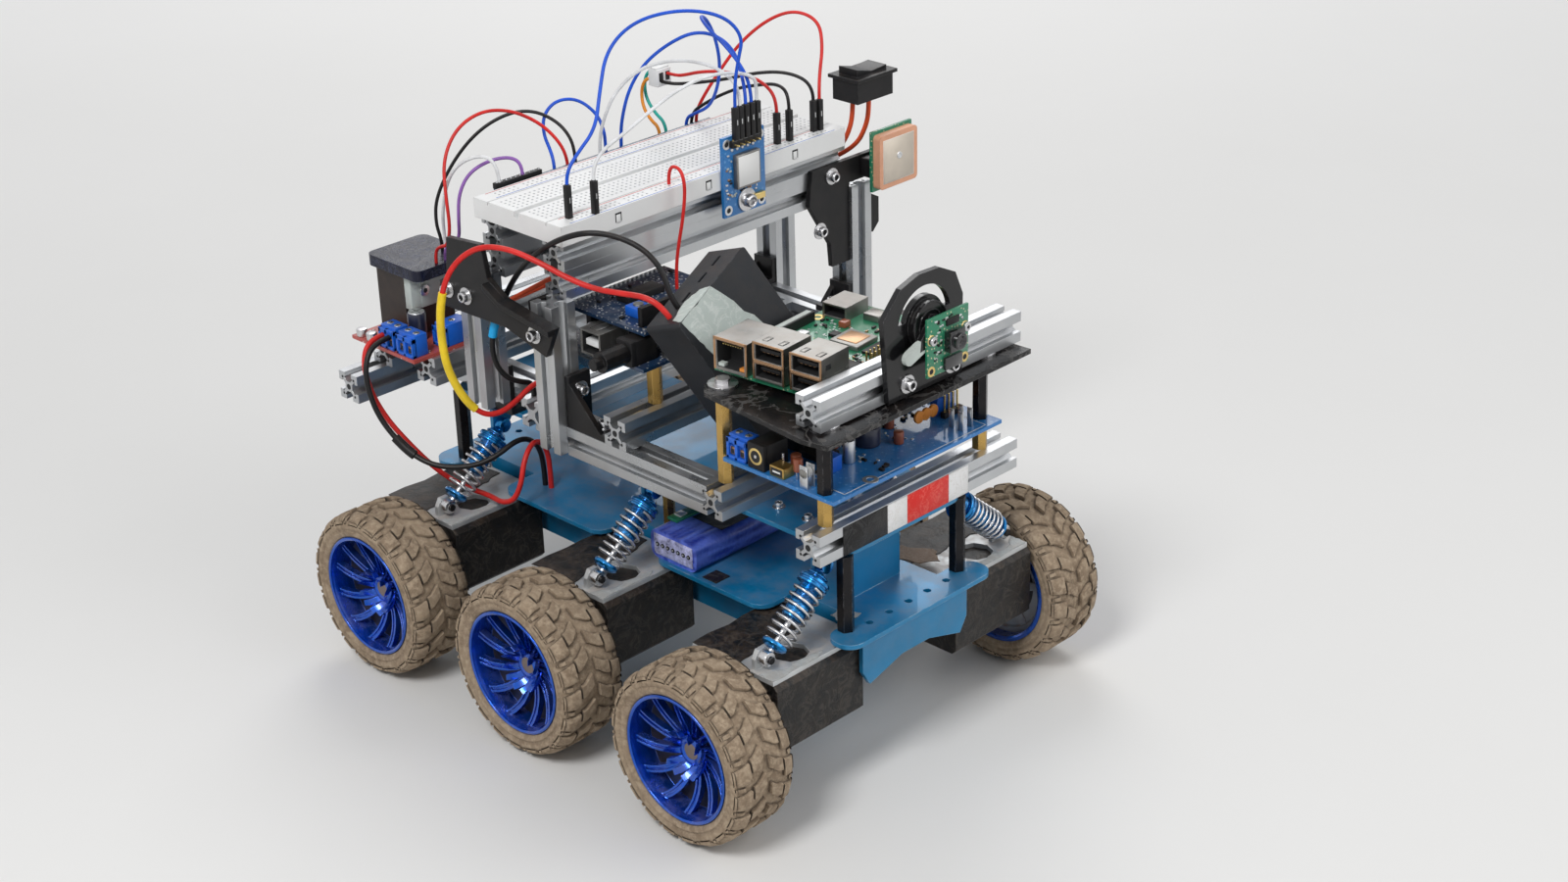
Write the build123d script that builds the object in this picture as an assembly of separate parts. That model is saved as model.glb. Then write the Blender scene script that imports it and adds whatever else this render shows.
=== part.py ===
from build123d import *
import math
import os

# A six-wheeled planetary rover prototype: folded blue chassis, slotted aluminium bars, open electronics.
# Millimetres. X points forward, Z up, and Y to the side that the upper frame overhangs.
# Lengths below are measured from the chassis centre on the ground. The last step moves the
# whole model so that its origin lies on the ground under the middle of its outline.
outline_middle_x = -8.0
outline_middle_y = 24.25

# Wheels
tyre_radius = 37.0
tyre_width = 30.0
tyre_edge_radius = 35.0
tyre_side_radius = 31.5
tyre_shoulder = 2.2
tyre_crown = 0.4
wheel_facets = 28
wheel_pitch = 96.0
wheel_outer_y = 108.5
rim_radius = 27.0
rim_wall = 2.4
hub_radius = 6.5
hub_recess = 13.0
hub_length = 15.0
spoke_count = 10
spoke_width = 2.0
spoke_depth = 3.2
spoke_front = 2.0
rim_recess = 0.8
axle_radius = 3.0
axle_clearance = 0.05
axle_play = 0.4
axle_nut_across = 8.0
axle_nut_length = 3.2
axle_facets = 12

# Chassis sheets
sheet = 2.0
lower_plate_top = 70.0
top_plate_top = 105.0
top_plate_half_length = 119.0
top_plate_half_width = 35.0
top_plate_corner = 8.0
shelf_reach = 128.0
shelf_start = 113.0
shelf_half_width = 43.0
flange_corner = 7.0
flange_mid_inner = 16.0
flange_mid_outer = 80.0
tub_half_width = 24.0
tub_floor = 44.0
tub_half_length = 112.0
shelf_hole_x = 119.0
shelf_hole_pitch = 11.4
shelf_hole_count = 5
screw_hole_radius = 1.6
plate_standoff_x = 116.0
plate_standoff_y = 33.0
plate_standoff_across = 6.0
end_wall_x = 99.0
end_wall_half_width = 15.0
end_wall_height = 22.0

# Suspension
shock_offset = 13.0
shock_top_y = 37.0
shock_top_z = 97.5
shock_foot_y = 70.0
shock_foot_z = 70.5
shock_body_radius = 4.4
shock_rod_radius = 1.2
spring_radius = 6.5
spring_wire = 1.1
spring_turns = 5
spring_facets = 8
eye_radius = 3.2
eye_width = 4.0
tab_thickness = 2.0
arm_half_length = 22.0
arm_inner_y = 27.0
arm_outer_y = 75.5
arm_top = 66.0
cover_bottom = 33.0
cover_gap_y = 1.0

# Slotted bar, half an inch square
bar = 12.7
slot_mouth = 4.4
slot_lip = 2.0
slot_inner = 6.6
slot_floor = 2.5
slot_depth = 4.05

# Bars on the top plate and the bars that stand on them
front_bar_x = 106.6
front_bar_y = (-50.0, 66.0)
cross_bar_x = 51.8
cross_bar_y = (-48.0, 48.0)
side_bar_x = (-26.5, 51.8)
side_bar_y = 35.3
short_bar_x = -3.0
short_bar_y = (-48.0, 30.0)
tail_bar_x = -64.0
tail_bar_y = (-41.0, 110.9)
tail_rail_y = 30.0
foot_bar_x = (-86.0, -24.5)
low_rear_x = -146.3
low_rear_y = (-75.0, 50.0)
high_rear_x = -143.0
high_rear_y = (-58.0, 44.0)
inner_rear_x = -112.3
camera_bar_x = 105.9
camera_bar_y = (-47.7, 67.9)

# Posts: lower corner of each
near_front_post = (-39.2, -52.2)
near_rear_post = (-86.7, -51.3)
far_front_post = (-37.2, 123.6)
far_rear_post = (-86.0, 123.6)
near_rear_foot = 112.0
post_top = 171.6
far_front_top = 176.0

# Breadboard frame
rail_y = (-42.0, 123.6)
front_rail_x = -41.3
rear_rail_x = -79.7
rail_top = 197.0
board_x = (-78.2, -23.6)
board_y = (-46.5, 118.6)
board_thickness = 8.5
power_strip = 9.2
strip_groove = 0.6
middle_groove = 3.0

# Deck and the boards
deck_top = 159.0
deck_sheet = 2.0
deck_x = (52.5, 126.5)
deck_y = (-54.5, 66.0)
washer_radius = 6.0
washer_thickness = 1.0
front_standoff = (112.95, -40.0)
rear_standoff = (58.15, -39.0)
far_standoff_y = 50.0
rear_far_standoff_y = 44.0
standoff_across = 5.5
inner_standoff = (4.0, -21.0)
pcb = 1.6
control_board_x = (62.0, 121.0)
control_board_y = (-44.0, 54.0)
control_board_top = 131.0
computer_corner = (51.0, -36.0)
computer_yaw = 6.0
computer_width = 56.0
computer_length = 85.0
computer_top = 163.0
controller_x = (-44.0, 7.0)
controller_y = (-34.0, 34.0)
controller_top = 148.6
shield_x = (-44.0, 4.0)
shield_y = (-30.0, 26.0)
shield_top = 162.6
rear_board_x = -82.5
rear_board_y = (-31.0, 94.0)
rear_board_z = (182.0, 203.5)
pin_strip = 5.0
pin_strip_top = 186.0

# Things on the frame
battery_x = (14.0, 41.0)
battery_y = (-41.0, 25.0)
battery_height = 13.0
battery_corner = 4.0
case_corner = (28.4, 3.5, 196.5)
case_lean = 19.3
case_roll = 25.0
case_width = 47.5
case_height = 68.3
case_thickness = 20.5
case_corner_radius = 1.5
case_slots = (8.0, 18.0, 30.0)
slot_length = 6.0
slot_recess = 1.2
slot_height = 1.6
driver_x = (-145.0, -101.5)
driver_y = (-67.0, -24.0)
sink_x = (-146.0, -127.0)
sink_y = (-50.0, -24.0)
sink_height = 28.0
sink_fins = 6
lid_x = (-149.0, -113.0)
lid_y = (-53.0, -21.0)
lid_height = 5.0
camera_plate = 2.5
camera_boss = 3.0
camera_arm = 2.2
camera_disc_y = 7.1
camera_disc_z = 187.9
camera_disc_radius = 9.5
camera_slot_inner = 11.0
camera_slot_outer = 15.0
camera_board_y = (1.6, 25.3)
camera_board_z = (168.0, 192.0)
module_y = (42.0, 67.0)
module_z = (184.5, 220.0)
antenna_y = (130.5, 157.0)
antenna_z = (173.0, 201.0)
antenna_x = -20.0
patch = 25.0
patch_thickness = 4.0
switch_y = (126.0, 149.0)
switch_z = (214.0, 227.0)
switch_x = -30.0
switch_depth = 15.0

# Moulded black brackets
bracket = 2.5
bracket_leg = 23.0
rear_leg = 8.0
far_leg = 12.0
bolt_head_radius = 2.8

# Wires
power_lead = 2.4
switch_lead = 2.2
jumper = 1.5
antenna_cable = 1.2
wire_facets = 6
housing_side = 2.5
housing_length = 14.0
plug_length = 13.0
plug_neck = 4.0

sides = (("near", -1), ("far", 1))
axle_places = (("rear", -wheel_pitch), ("middle", 0.0), ("front", wheel_pitch))


def block(x, y, z):
    """Box between the low and high limits given for each axis."""
    size = (x[1] - x[0], y[1] - y[0], z[1] - z[0])
    middle = ((x[0] + x[1]) / 2, (y[0] + y[1]) / 2, (z[0] + z[1]) / 2)
    return Pos(*middle) * Box(*size)


def upright(x, y, z, radius):
    """Round bar standing between two heights."""
    return Pos(x, y, (z[0] + z[1]) / 2) * Cylinder(radius, z[1] - z[0])


def prism(x, y, z, across, sides=6):
    """Upright many-sided bar between two heights; across is the distance between its flats."""
    profile = RegularPolygon(across / 2, sides, major_radius=False)
    return Pos(x, y, z[0]) * extrude(profile, z[1] - z[0])


def link(start, end, radius, sides=8):
    """Bar between two points, with few sides so that the model stays light."""
    line = Vector(*end) - Vector(*start)
    return Plane(origin=start, z_dir=line) * extrude(RegularPolygon(radius, sides), line.length)


def ring_stack(sections, sides):
    """Solid through a regular polygon at each (radius, height) pair."""
    return loft([Pos(0, 0, z) * RegularPolygon(radius, sides) for radius, z in sections], ruled=True)


def plate_yz(points, x):
    """Plate whose outline is given as (y, z), between two x limits."""
    face = Plane.YZ.offset(x[0]) * make_face(Polyline(*points, close=True))
    return extrude(face, x[1] - x[0])


def plate_xz(points, y):
    """Plate whose outline is given as (x, z), between two y limits."""
    face = Plane.XZ.offset(-y[1]) * make_face(Polyline(*points, close=True))
    return extrude(face, y[1] - y[0])


def bar_profile():
    """Square bar with a wide-mouthed slot on each side, which leaves an X of webs."""
    half = bar / 2
    slot = Polyline(
        (slot_mouth / 2, half + 1),
        (slot_mouth / 2, half - slot_lip),
        (slot_inner / 2, half - slot_lip),
        (slot_floor / 2, half - slot_depth),
        (-slot_floor / 2, half - slot_depth),
        (-slot_inner / 2, half - slot_lip),
        (-slot_mouth / 2, half - slot_lip),
        (-slot_mouth / 2, half + 1),
        close=True,
    )
    profile = Rectangle(bar, bar)
    for turn in range(4):
        profile -= Rot(0, 0, 90 * turn) * make_face(slot)
    return profile


section = bar_profile()


def bar_along_x(x, y_low, z_low):
    face = Plane.YZ * Pos(y_low + bar / 2, z_low + bar / 2) * section
    return Pos(x[0], 0, 0) * extrude(face, x[1] - x[0])


def bar_along_y(x_low, y, z_low):
    face = Plane.XZ * Pos(x_low + bar / 2, z_low + bar / 2) * section
    return Pos(0, y[1], 0) * extrude(face, y[1] - y[0])


def bar_upright(corner, z):
    face = Pos(corner[0] + bar / 2, corner[1] + bar / 2, z[0]) * section
    return extrude(face, z[1] - z[0])


# Chassis


def lower_hull():
    """Folded sheet: plate with wheel bays cut out, tub below it, shelf and apron at each end."""
    plate_bottom = lower_plate_top - sheet
    thickness = (plate_bottom, lower_plate_top)
    plate = block((-shelf_start, shelf_start), (-tub_half_width, tub_half_width), thickness)
    wing_middle = (flange_mid_inner + flange_mid_outer) / 2
    wing_size = (flange_mid_outer - flange_mid_inner, 2 * shelf_half_width)
    shelf_middle = (shelf_start + shelf_reach) / 2
    for end in (-1, 1):
        wing = RectangleRounded(*wing_size, flange_corner)
        plate += Pos(end * wing_middle, 0, plate_bottom) * extrude(wing, sheet)
        shelf = RectangleRounded(shelf_reach - shelf_start, 2 * shelf_half_width, flange_corner)
        plate += Pos(end * shelf_middle, 0, plate_bottom) * extrude(shelf, sheet)
    tub = block(
        (-tub_half_length, tub_half_length),
        (-tub_half_width, tub_half_width),
        (tub_floor, plate_bottom),
    )
    tub -= block(
        (-tub_half_length + sheet, tub_half_length - sheet),
        (-tub_half_width + sheet, tub_half_width - sheet),
        (tub_floor + sheet, plate_bottom + 1),
    )
    hull = plate + tub
    apron = (
        (-tub_half_width - 7, plate_bottom),
        (-tub_half_width - 7, 52),
        (-tub_half_width - 3, 45.5),
        (-8, 51),
        (8, 51),
        (tub_half_width + 3, 45.5),
        (tub_half_width + 7, 52),
        (tub_half_width + 7, plate_bottom),
    )
    apron_outer = shelf_reach - 5
    hull += plate_yz(apron, (apron_outer - sheet, apron_outer))
    hull += plate_yz(apron, (-apron_outer, -apron_outer + sheet))
    hull += block(
        (end_wall_x, end_wall_x + sheet),
        (-end_wall_half_width, end_wall_half_width),
        (lower_plate_top, lower_plate_top + end_wall_height),
    )
    first = -(shelf_hole_count - 1) / 2 * shelf_hole_pitch
    for end in (-1, 1):
        for n in range(shelf_hole_count):
            place = (end * shelf_hole_x, first + n * shelf_hole_pitch)
            hull -= upright(*place, (plate_bottom - 1, lower_plate_top + 1), screw_hole_radius)
    return [hull]


def top_plate():
    """Rounded lid with rows of screw holes and a bent lug for each shock absorber."""
    bottom = top_plate_top - sheet
    outline = RectangleRounded(2 * top_plate_half_length, 2 * top_plate_half_width, top_plate_corner)
    plate = Pos(0, 0, bottom) * extrude(outline, sheet)
    row_x = (-100, -68, -20, 24, 72, 88)
    for x in row_x:
        for y in (-24, 24):
            plate -= upright(x, y, (bottom - 1, top_plate_top + 1), screw_hole_radius)
    for _, hub_x in axle_places:
        for _, side in sides:
            near_face = hub_x + shock_offset - eye_width / 2
            lug = (
                (side * (top_plate_half_width - 8), bottom),
                (side * (shock_top_y + 3.5), bottom),
                (side * (shock_top_y + 3.5), shock_top_z - 3.5),
                (side * (shock_top_y - 3.5), shock_top_z - 3.5),
            )
            plate += plate_yz(lug, (near_face - tab_thickness, near_face))
            plate += block(
                (near_face - tab_thickness, near_face),
                tuple(sorted((side * (top_plate_half_width - 4), side * (shock_top_y + 3.5)))),
                (bottom, top_plate_top),
            )
    return [plate]


def black_pillars():
    """Black hexagonal pillars between the two plates, and from the control board to the deck."""
    low = (lower_plate_top, top_plate_top - sheet)
    solids = []
    for end in (-1, 1):
        for _, side in sides:
            place = (end * plate_standoff_x, side * plate_standoff_y)
            solids.append(prism(*place, low, plate_standoff_across))
    high = (control_board_top, deck_top - deck_sheet)
    for y in (front_standoff[1], far_standoff_y):
        solids.append(prism(front_standoff[0], y, high, standoff_across))
    return solids


def shock_ends(hub_x, side):
    top = Vector(hub_x + shock_offset, side * shock_top_y, shock_top_z)
    foot = Vector(hub_x + shock_offset, side * shock_foot_y, shock_foot_z)
    return top, foot


def along(start, end, distance):
    return start + (end - start).normalized() * distance


def shock_bodies():
    """Blue damper: eye on its cross pin, body, and a wide collar that seats the spring."""
    solids = []
    for _, hub_x in axle_places:
        for _, side in sides:
            top, foot = shock_ends(hub_x, side)
            body = link(along(top, foot, 6.5), along(top, foot, 25), shock_body_radius)
            body += link(top, along(top, foot, 7), eye_width / 2 - 0.1)
            body += link(along(top, foot, 7), along(top, foot, 10), spring_radius)
            pin_end = top.X + eye_width / 2
            body += link((top.X - eye_width / 2, top.Y, top.Z), (pin_end, top.Y, top.Z), eye_radius)
            solids.append(body)
    return solids


def shock_rods():
    """Bright rod, the cup under the spring and the lower eye on the arm."""
    solids = []
    for _, hub_x in axle_places:
        for _, side in sides:
            top, foot = shock_ends(hub_x, side)
            rod = link(foot, along(top, foot, 25), shock_rod_radius)
            rod += link(along(foot, top, 4), along(foot, top, 7), spring_radius - 1)
            half = eye_width / 2
            rod += link((foot.X - half, foot.Y, foot.Z), (foot.X + half, foot.Y, foot.Z), eye_radius)
            solids.append(rod)
    return solids


def shock_springs():
    """Coil spring round each damper, as a ribbed sleeve."""
    hole = RegularPolygon(shock_body_radius + 0.15, spring_facets, major_radius=False)
    solids = []
    for _, hub_x in axle_places:
        for _, side in sides:
            top, foot = shock_ends(hub_x, side)
            low = along(foot, top, 7)
            high = along(top, foot, 10)
            length = (high - low).length
            pitch = length / spring_turns
            ribs = []
            for turn in range(spring_turns):
                ribs.append((spring_radius - spring_wire, pitch * turn))
                ribs.append((spring_radius, pitch * (turn + 0.5)))
            ribs.append((spring_radius - spring_wire, length))
            sleeve = ring_stack(ribs, spring_facets) - extrude(hole, length)
            solids.append(Plane(origin=low, z_dir=high - low) * sleeve)
    return solids


def suspension_arms():
    """Bright folded plate over each motor, notched round the damper's foot, with its clevis."""
    solids = []
    for _, hub_x in axle_places:
        for _, side in sides:
            limits = tuple(sorted((side * arm_inner_y, side * arm_outer_y)))
            arm = block(
                (hub_x - arm_half_length, hub_x + arm_half_length), limits, (arm_top - sheet, arm_top)
            )
            notch = prism(hub_x + shock_offset - 2, side * 55, (arm_top - 3, arm_top + 1), 14, 8)
            arm -= notch
            foot = (hub_x + shock_offset - eye_width / 2, side * shock_foot_y)
            ear = plate_yz(
                (
                    (foot[1] - 4, arm_top),
                    (foot[1] - 4, shock_foot_z),
                    (foot[1] - 2, shock_foot_z + 3.5),
                    (foot[1] + 2, shock_foot_z + 3.5),
                    (foot[1] + 4, shock_foot_z),
                    (foot[1] + 4, arm_top),
                ),
                (foot[0] - tab_thickness, foot[0]),
            )
            solids.append(arm + ear)
    return solids


def motor_covers():
    """Black wrapped gear motor under each arm, bored for the axle."""
    solids = []
    for _, hub_x in axle_places:
        for _, side in sides:
            limits = tuple(sorted((side * (arm_inner_y + cover_gap_y), side * arm_outer_y)))
            cover = block(
                (hub_x - arm_half_length + 1, hub_x + arm_half_length + 2),
                limits,
                (cover_bottom, arm_top - sheet),
            )
            solids.append(chamfer(cover.edges().filter_by(Axis.Y), 2.0))
    return solids


def axle_shafts():
    """Steel axle of each wheel: collar on the motor, journal in the hub, nut outside it."""
    solids = []
    hub_face = wheel_outer_y - hub_recess
    for _, hub_x in axle_places:
        for _, side in sides:
            face = (hub_x, side * arm_outer_y, tyre_radius)
            collar_end = (hub_x, side * (hub_face - hub_length - axle_play), tyre_radius)
            nut_start = (hub_x, side * (hub_face + axle_play), tyre_radius)
            nut_end = (hub_x, side * (hub_face + axle_play + axle_nut_length), tyre_radius)
            shaft = link(face, nut_start, axle_radius, axle_facets)
            shaft += link(face, collar_end, axle_radius + 2)
            nut = extrude(RegularPolygon(axle_nut_across / 2, 6, major_radius=False), axle_nut_length)
            direction = Vector(*nut_end) - Vector(*nut_start)
            shaft += Plane(origin=nut_start, z_dir=direction) * nut
            solids.append(shaft)
    return solids


# Wheels, made once about Z with the outer face at z = 0 and the depth going down


def tyre_solid():
    """Wide tyre with a crowned tread and cut-back shoulders, drawn with flat facets."""
    middle = -tyre_width / 2
    quarter = tyre_width / 4
    half_profile = (
        (tyre_side_radius, 0),
        (tyre_edge_radius, -tyre_shoulder),
        (tyre_radius - tyre_crown, middle + quarter),
    )
    other_half = [(radius, -tyre_width - z) for radius, z in reversed(half_profile)]
    solid = ring_stack([*half_profile, (tyre_radius, middle), *other_half], wheel_facets)
    hole = Pos(0, 0, -tyre_width) * extrude(RegularPolygon(rim_radius, wheel_facets), tyre_width)
    return solid - hole


def rim_solid():
    """Deep dish rim: barrel, and spokes that sweep in to a recessed hub."""
    inner = rim_radius - rim_wall
    ring = RegularPolygon(rim_radius, wheel_facets) - RegularPolygon(inner, wheel_facets)
    barrel = Pos(0, 0, -tyre_width + rim_recess) * extrude(ring, tyre_width - 2 * rim_recess)
    hub = Pos(0, 0, -hub_recess - hub_length) * extrude(RegularPolygon(hub_radius, axle_facets), hub_length)
    rim = barrel + hub
    bend = inner - 7.0
    bend_front = -hub_recess + 5.5
    spoke_outline = Polyline(
        (hub_radius - 1.0, -hub_recess),
        (bend, bend_front),
        (inner + 0.6, -spoke_front),
        (inner + 0.6, -spoke_front - 1.6 * spoke_depth),
        (bend, bend_front - spoke_depth),
        (hub_radius - 1.0, -hub_recess - spoke_depth),
        close=True,
    )
    face = Plane.XZ.offset(-spoke_width / 2) * make_face(spoke_outline)
    spoke = extrude(face, spoke_width)
    for n in range(spoke_count):
        rim += Rot(0, 0, 360 / spoke_count * n) * spoke
    bore = RegularPolygon(axle_radius + axle_clearance, axle_facets, major_radius=False)
    return rim - Pos(0, 0, -2 * tyre_width) * extrude(bore, 3 * tyre_width)


def placed_wheel(solid, hub_x, side):
    """Turns a wheel piece so that its outer face looks outwards, and moves it onto its axle."""
    outer = Vector(hub_x, side * wheel_outer_y, tyre_radius)
    return Plane(origin=outer, x_dir=(1, 0, 0), z_dir=(0, side, 0)) * solid


# Bars, posts and their brackets


def plate_bars_across():
    """Bars that lie across the top plate: front, middle and tail ones, and one behind its edge."""
    return [
        bar_along_y(front_bar_x, front_bar_y, top_plate_top),
        bar_along_y(cross_bar_x, cross_bar_y, top_plate_top),
        bar_along_y(tail_bar_x, tail_bar_y, top_plate_top),
        bar_along_y(low_rear_x, low_rear_y, top_plate_top),
    ]


def plate_bars_along():
    """Bars along the top plate: edge bars, tail rails and the bar under the far posts."""
    tail_x = (low_rear_x + bar, tail_bar_x)
    return [
        bar_along_x(side_bar_x, -side_bar_y - bar, top_plate_top),
        bar_along_x(side_bar_x, side_bar_y, top_plate_top),
        bar_along_x(tail_x, -tail_rail_y, top_plate_top),
        bar_along_x(tail_x, tail_rail_y - bar, top_plate_top),
        bar_along_x(foot_bar_x, tail_bar_y[1], top_plate_top),
    ]


def raised_bars():
    """Bars one level up: under the controller, and two under the motor driver."""
    level = top_plate_top + bar
    return [
        bar_along_y(short_bar_x, short_bar_y, level),
        bar_along_y(high_rear_x, high_rear_y, level),
        bar_along_y(inner_rear_x, high_rear_y, level),
    ]


def camera_bar():
    return [bar_along_y(camera_bar_x, camera_bar_y, deck_top + washer_thickness)]


def posts():
    """Four uprights under the breadboard frame."""
    return [
        bar_upright(near_front_post, (top_plate_top + 1, post_top)),
        bar_upright(near_rear_post, (near_rear_foot, post_top)),
        bar_upright(far_front_post, (top_plate_top, far_front_top)),
        bar_upright(far_rear_post, (top_plate_top, rail_top - bar)),
    ]


def lower_rails():
    low = rail_top - 2 * bar
    return [bar_along_y(front_rail_x, rail_y, low), bar_along_y(rear_rail_x, rail_y, low)]


def upper_rails():
    low = rail_top - bar
    return [bar_along_y(front_rail_x, rail_y, low), bar_along_y(rear_rail_x, rail_y, low)]


def strap_bracket():
    """Black moulded strap with an upright ear, across the near faces of two posts."""
    face = near_front_post[1]
    outline = (
        (-96, 156),
        (-95, 167),
        (-90, 170),
        (-88, 188),
        (-66, 190),
        (-63, 176),
        (-52, 169.5),
        (-21.6, 165),
        (-28.4, 150.7),
        (-53, 157),
    )
    strap = plate_xz(outline, (face - bracket, face))
    ridge = ((-62, 172.5), (-52, 167), (-21.6, 162.5), (-21.6, 165), (-52, 169.5), (-62, 175))
    strap += plate_xz(ridge, (face - bracket - 4, face - bracket))
    return [strap]


def corner_bracket(corner, leg, width, run):
    """L-shaped bracket with a side web; corner is its inner edge, run is its flat direction."""
    upright_leg = Box(bracket, width, leg, align=(Align.MIN, Align.CENTER, Align.MIN))
    flat_leg = Box(leg, width, bracket, align=(Align.MIN, Align.CENTER, Align.MIN))
    web_outline = Polyline((bracket, bracket), (leg - 3, bracket), (bracket, leg - 3), close=True)
    web = extrude(Plane.XZ.offset(width / 2 - bracket) * make_face(web_outline), bracket)
    shape = upright_leg + flat_leg + web
    return Pos(*corner) * Rot(0, 0, run) * shape


def corner_brackets():
    """Black brackets: corner ones at the feet of the posts and flat gussets at their tops."""
    level = top_plate_top + bar
    near = near_front_post[0] + bar
    front = corner_bracket((near, -side_bar_y - bar / 2, level), bracket_leg, bar - 1, 0)
    rear_corner = (near_rear_post[0] + bar / 2, near_rear_post[1] + bar, near_rear_foot)
    rear = Pos(*rear_corner) * block((-bar / 2, bar / 2), (0, bracket), (-7, 16))
    rear += Pos(*rear_corner) * block((-bar / 2, bar / 2), (0, rear_leg), (-7, -7 + bracket))
    front_face = front_rail_x + bar
    far = plate_yz(
        (
            (98, 173),
            (100, 189),
            (140, 189),
            (140, 178),
            (123.6, 178),
            (123.6, 141),
            (112, 141),
            (111, 152),
        ),
        (front_face, front_face + bracket),
    )
    near_face = near_front_post[0]
    inner = plate_yz(
        (
            (near_front_post[1] + 1, 150),
            (near_front_post[1] + bar, 150),
            (-31, 157),
            (-31, 171),
            (near_front_post[1] + 1, 171),
        ),
        (near_face - bracket, near_face),
    )
    far_face = far_front_post[1] + bar
    ear = plate_yz(
        ((far_face, 150), (far_face + 7, 148), (far_face + 11, 152), (far_face + 11, 164), (far_face, 170)),
        (-34, -30),
    )
    solids = [front, rear, far, inner, ear]
    for post in (far_front_post, far_rear_post):
        corner = (post[0] + bar / 2, post[1], level)
        solids.append(corner_bracket(corner, far_leg, bar - 1, -90))
    return solids


# Deck and boards


def deck_plate():
    """Thin deck wrapped in tape, its edges not quite straight."""
    outline = Polyline(
        (deck_x[0], deck_y[0] + 11),
        (deck_x[0] + 5, deck_y[0] + 6),
        (deck_x[0] + 62, deck_y[0]),
        (deck_x[1], deck_y[0] + 2),
        (deck_x[1] - 1, deck_y[1]),
        (deck_x[0] + 8, deck_y[1] - 3),
        close=True,
    )
    deck = Pos(0, 0, deck_top - deck_sheet) * extrude(make_face(outline), deck_sheet)
    return [deck]


def standoff_places():
    near = [front_standoff, rear_standoff]
    far = [(front_standoff[0], far_standoff_y), (rear_standoff[0], rear_far_standoff_y)]
    return near + far


def brass_standoffs():
    """Brass pillars: under the control board, the deck and the controller, and one between the plates."""
    foot = top_plate_top + bar
    board_bottom = control_board_top - pcb
    solids = []
    for y in (front_standoff[1], far_standoff_y):
        solids.append(prism(front_standoff[0], y, (foot, board_bottom), standoff_across))
    for y in (rear_standoff[1], rear_far_standoff_y):
        solids.append(prism(rear_standoff[0], y, (foot, deck_top - deck_sheet), standoff_across))
    level = short_bar_level()
    for y in (-25.0, 20.0):
        solids.append(prism(short_bar_x + bar / 2, y, (level, controller_top - pcb), standoff_across))
    solids.append(prism(*inner_standoff, (lower_plate_top, top_plate_top - sheet), standoff_across - 1))
    return solids


def short_bar_level():
    return top_plate_top + 2 * bar


def deck_washers():
    """Large washers with screw heads, on the deck and under the camera bar."""
    solids = []
    height = (deck_top, deck_top + washer_thickness)
    for x, y in standoff_places():
        washer = prism(x, y, height, 2 * washer_radius, 16)
        if (x, y) == rear_standoff:
            washer += prism(x, y, (height[1], height[1] + 2), 2 * bolt_head_radius, 8)
        solids.append(washer)
    return solids


def control_board():
    return [block(control_board_x, control_board_y, (control_board_top - pcb, control_board_top))]


# name, x from, x to, y from, y to, height
control_table = (
    ("terminal", 63.0, 73.5, -43.0, -35.0, 10.0),
    ("jack", 75.0, 84.0, -43.5, -30.0, 11.0),
    ("button", 86.5, 94.0, -43.0, -37.0, 4.5),
    ("capacitor", 96.0, 99.0, -41.0, -36.0, 9.0),
    ("fuse", 102.0, 107.0, -43.5, -38.5, 10.0),
    ("driver_chip", 84.0, 96.0, -24.0, -14.0, 3.0),
    ("relay", 70.0, 84.0, -22.0, -6.0, 12.0),
    ("header", 66.0, 69.0, 0.0, 40.0, 9.0),
    ("trimmer", 98.0, 104.0, -28.0, -21.0, 7.0),
    ("coil", 90.0, 102.0, -4.0, 8.0, 8.0),
    ("chip_row", 76.0, 84.0, 8.0, 34.0, 4.0),
    ("clips", 108.0, 118.0, 34.0, 44.0, 9.0),
    ("far_terminal", 96.0, 106.0, 26.0, 50.0, 10.0),
)


def control_parts():
    """Components that stand on the control board."""
    solids = []
    for _, x0, x1, y0, y1, height in control_table:
        solids.append(block((x0, x1), (y0, y1), (control_board_top, control_board_top + height)))
    return solids


def on_computer(solid):
    """Places a piece made in the computer board's own frame: X along its ports, Y along its length."""
    return Pos(computer_corner[0], computer_corner[1], computer_top) * Rot(0, 0, computer_yaw) * solid


def computer_board():
    board = block((-1.5, computer_width - 1.5), (1.5, computer_length), (-pcb, 0))
    feet = []
    for x in (2.0, computer_width - 6):
        for y in (26.0, computer_length - 4):
            feet.append(prism(x, y, (deck_top - computer_top, -pcb), 4.4))
    for foot in feet:
        board += foot
    return [on_computer(board)]


# name, x from, x to, y from, y to, height; a socket opens towards the near side
computer_table = (
    ("network", 0.0, 16.0, 0.0, 21.0, 13.5),
    ("usb_left", 19.5, 34.0, 0.0, 17.5, 16.0),
    ("usb_right", 37.5, 52.0, 0.0, 17.5, 16.0),
)
computer_chips = (
    ("hub_chip", 36.0, 46.0, 24.0, 34.0, 1.4),
    ("processor", 22.0, 36.0, 44.0, 58.0, 2.6),
    ("pins", 49.5, 53.5, 30.0, 80.0, 8.5),
    ("socket_row", -1.0, 3.0, 24.0, 60.0, 5.0),
    ("video_port", 2.0, 14.0, 66.0, 81.0, 6.0),
)


def computer_ports():
    """Metal port housings with hollow sockets, and the chips behind them."""
    solids = []
    for name, x0, x1, y0, y1, height in computer_table:
        port = block((x0, x1), (y0, y1), (0, height))
        rows = ((1.5, height - 1.5),) if name == "network" else ((1.5, 7.0), (9.0, height - 1.2))
        for low, high in rows:
            port -= block((x0 + 1.2, x1 - 1.2), (y0 - 1, y0 + 9), (low, high))
        solids.append(on_computer(port))
    for _, x0, x1, y0, y1, height in computer_chips:
        solids.append(on_computer(block((x0, x1), (y0, y1), (0, height))))
    return solids


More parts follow.
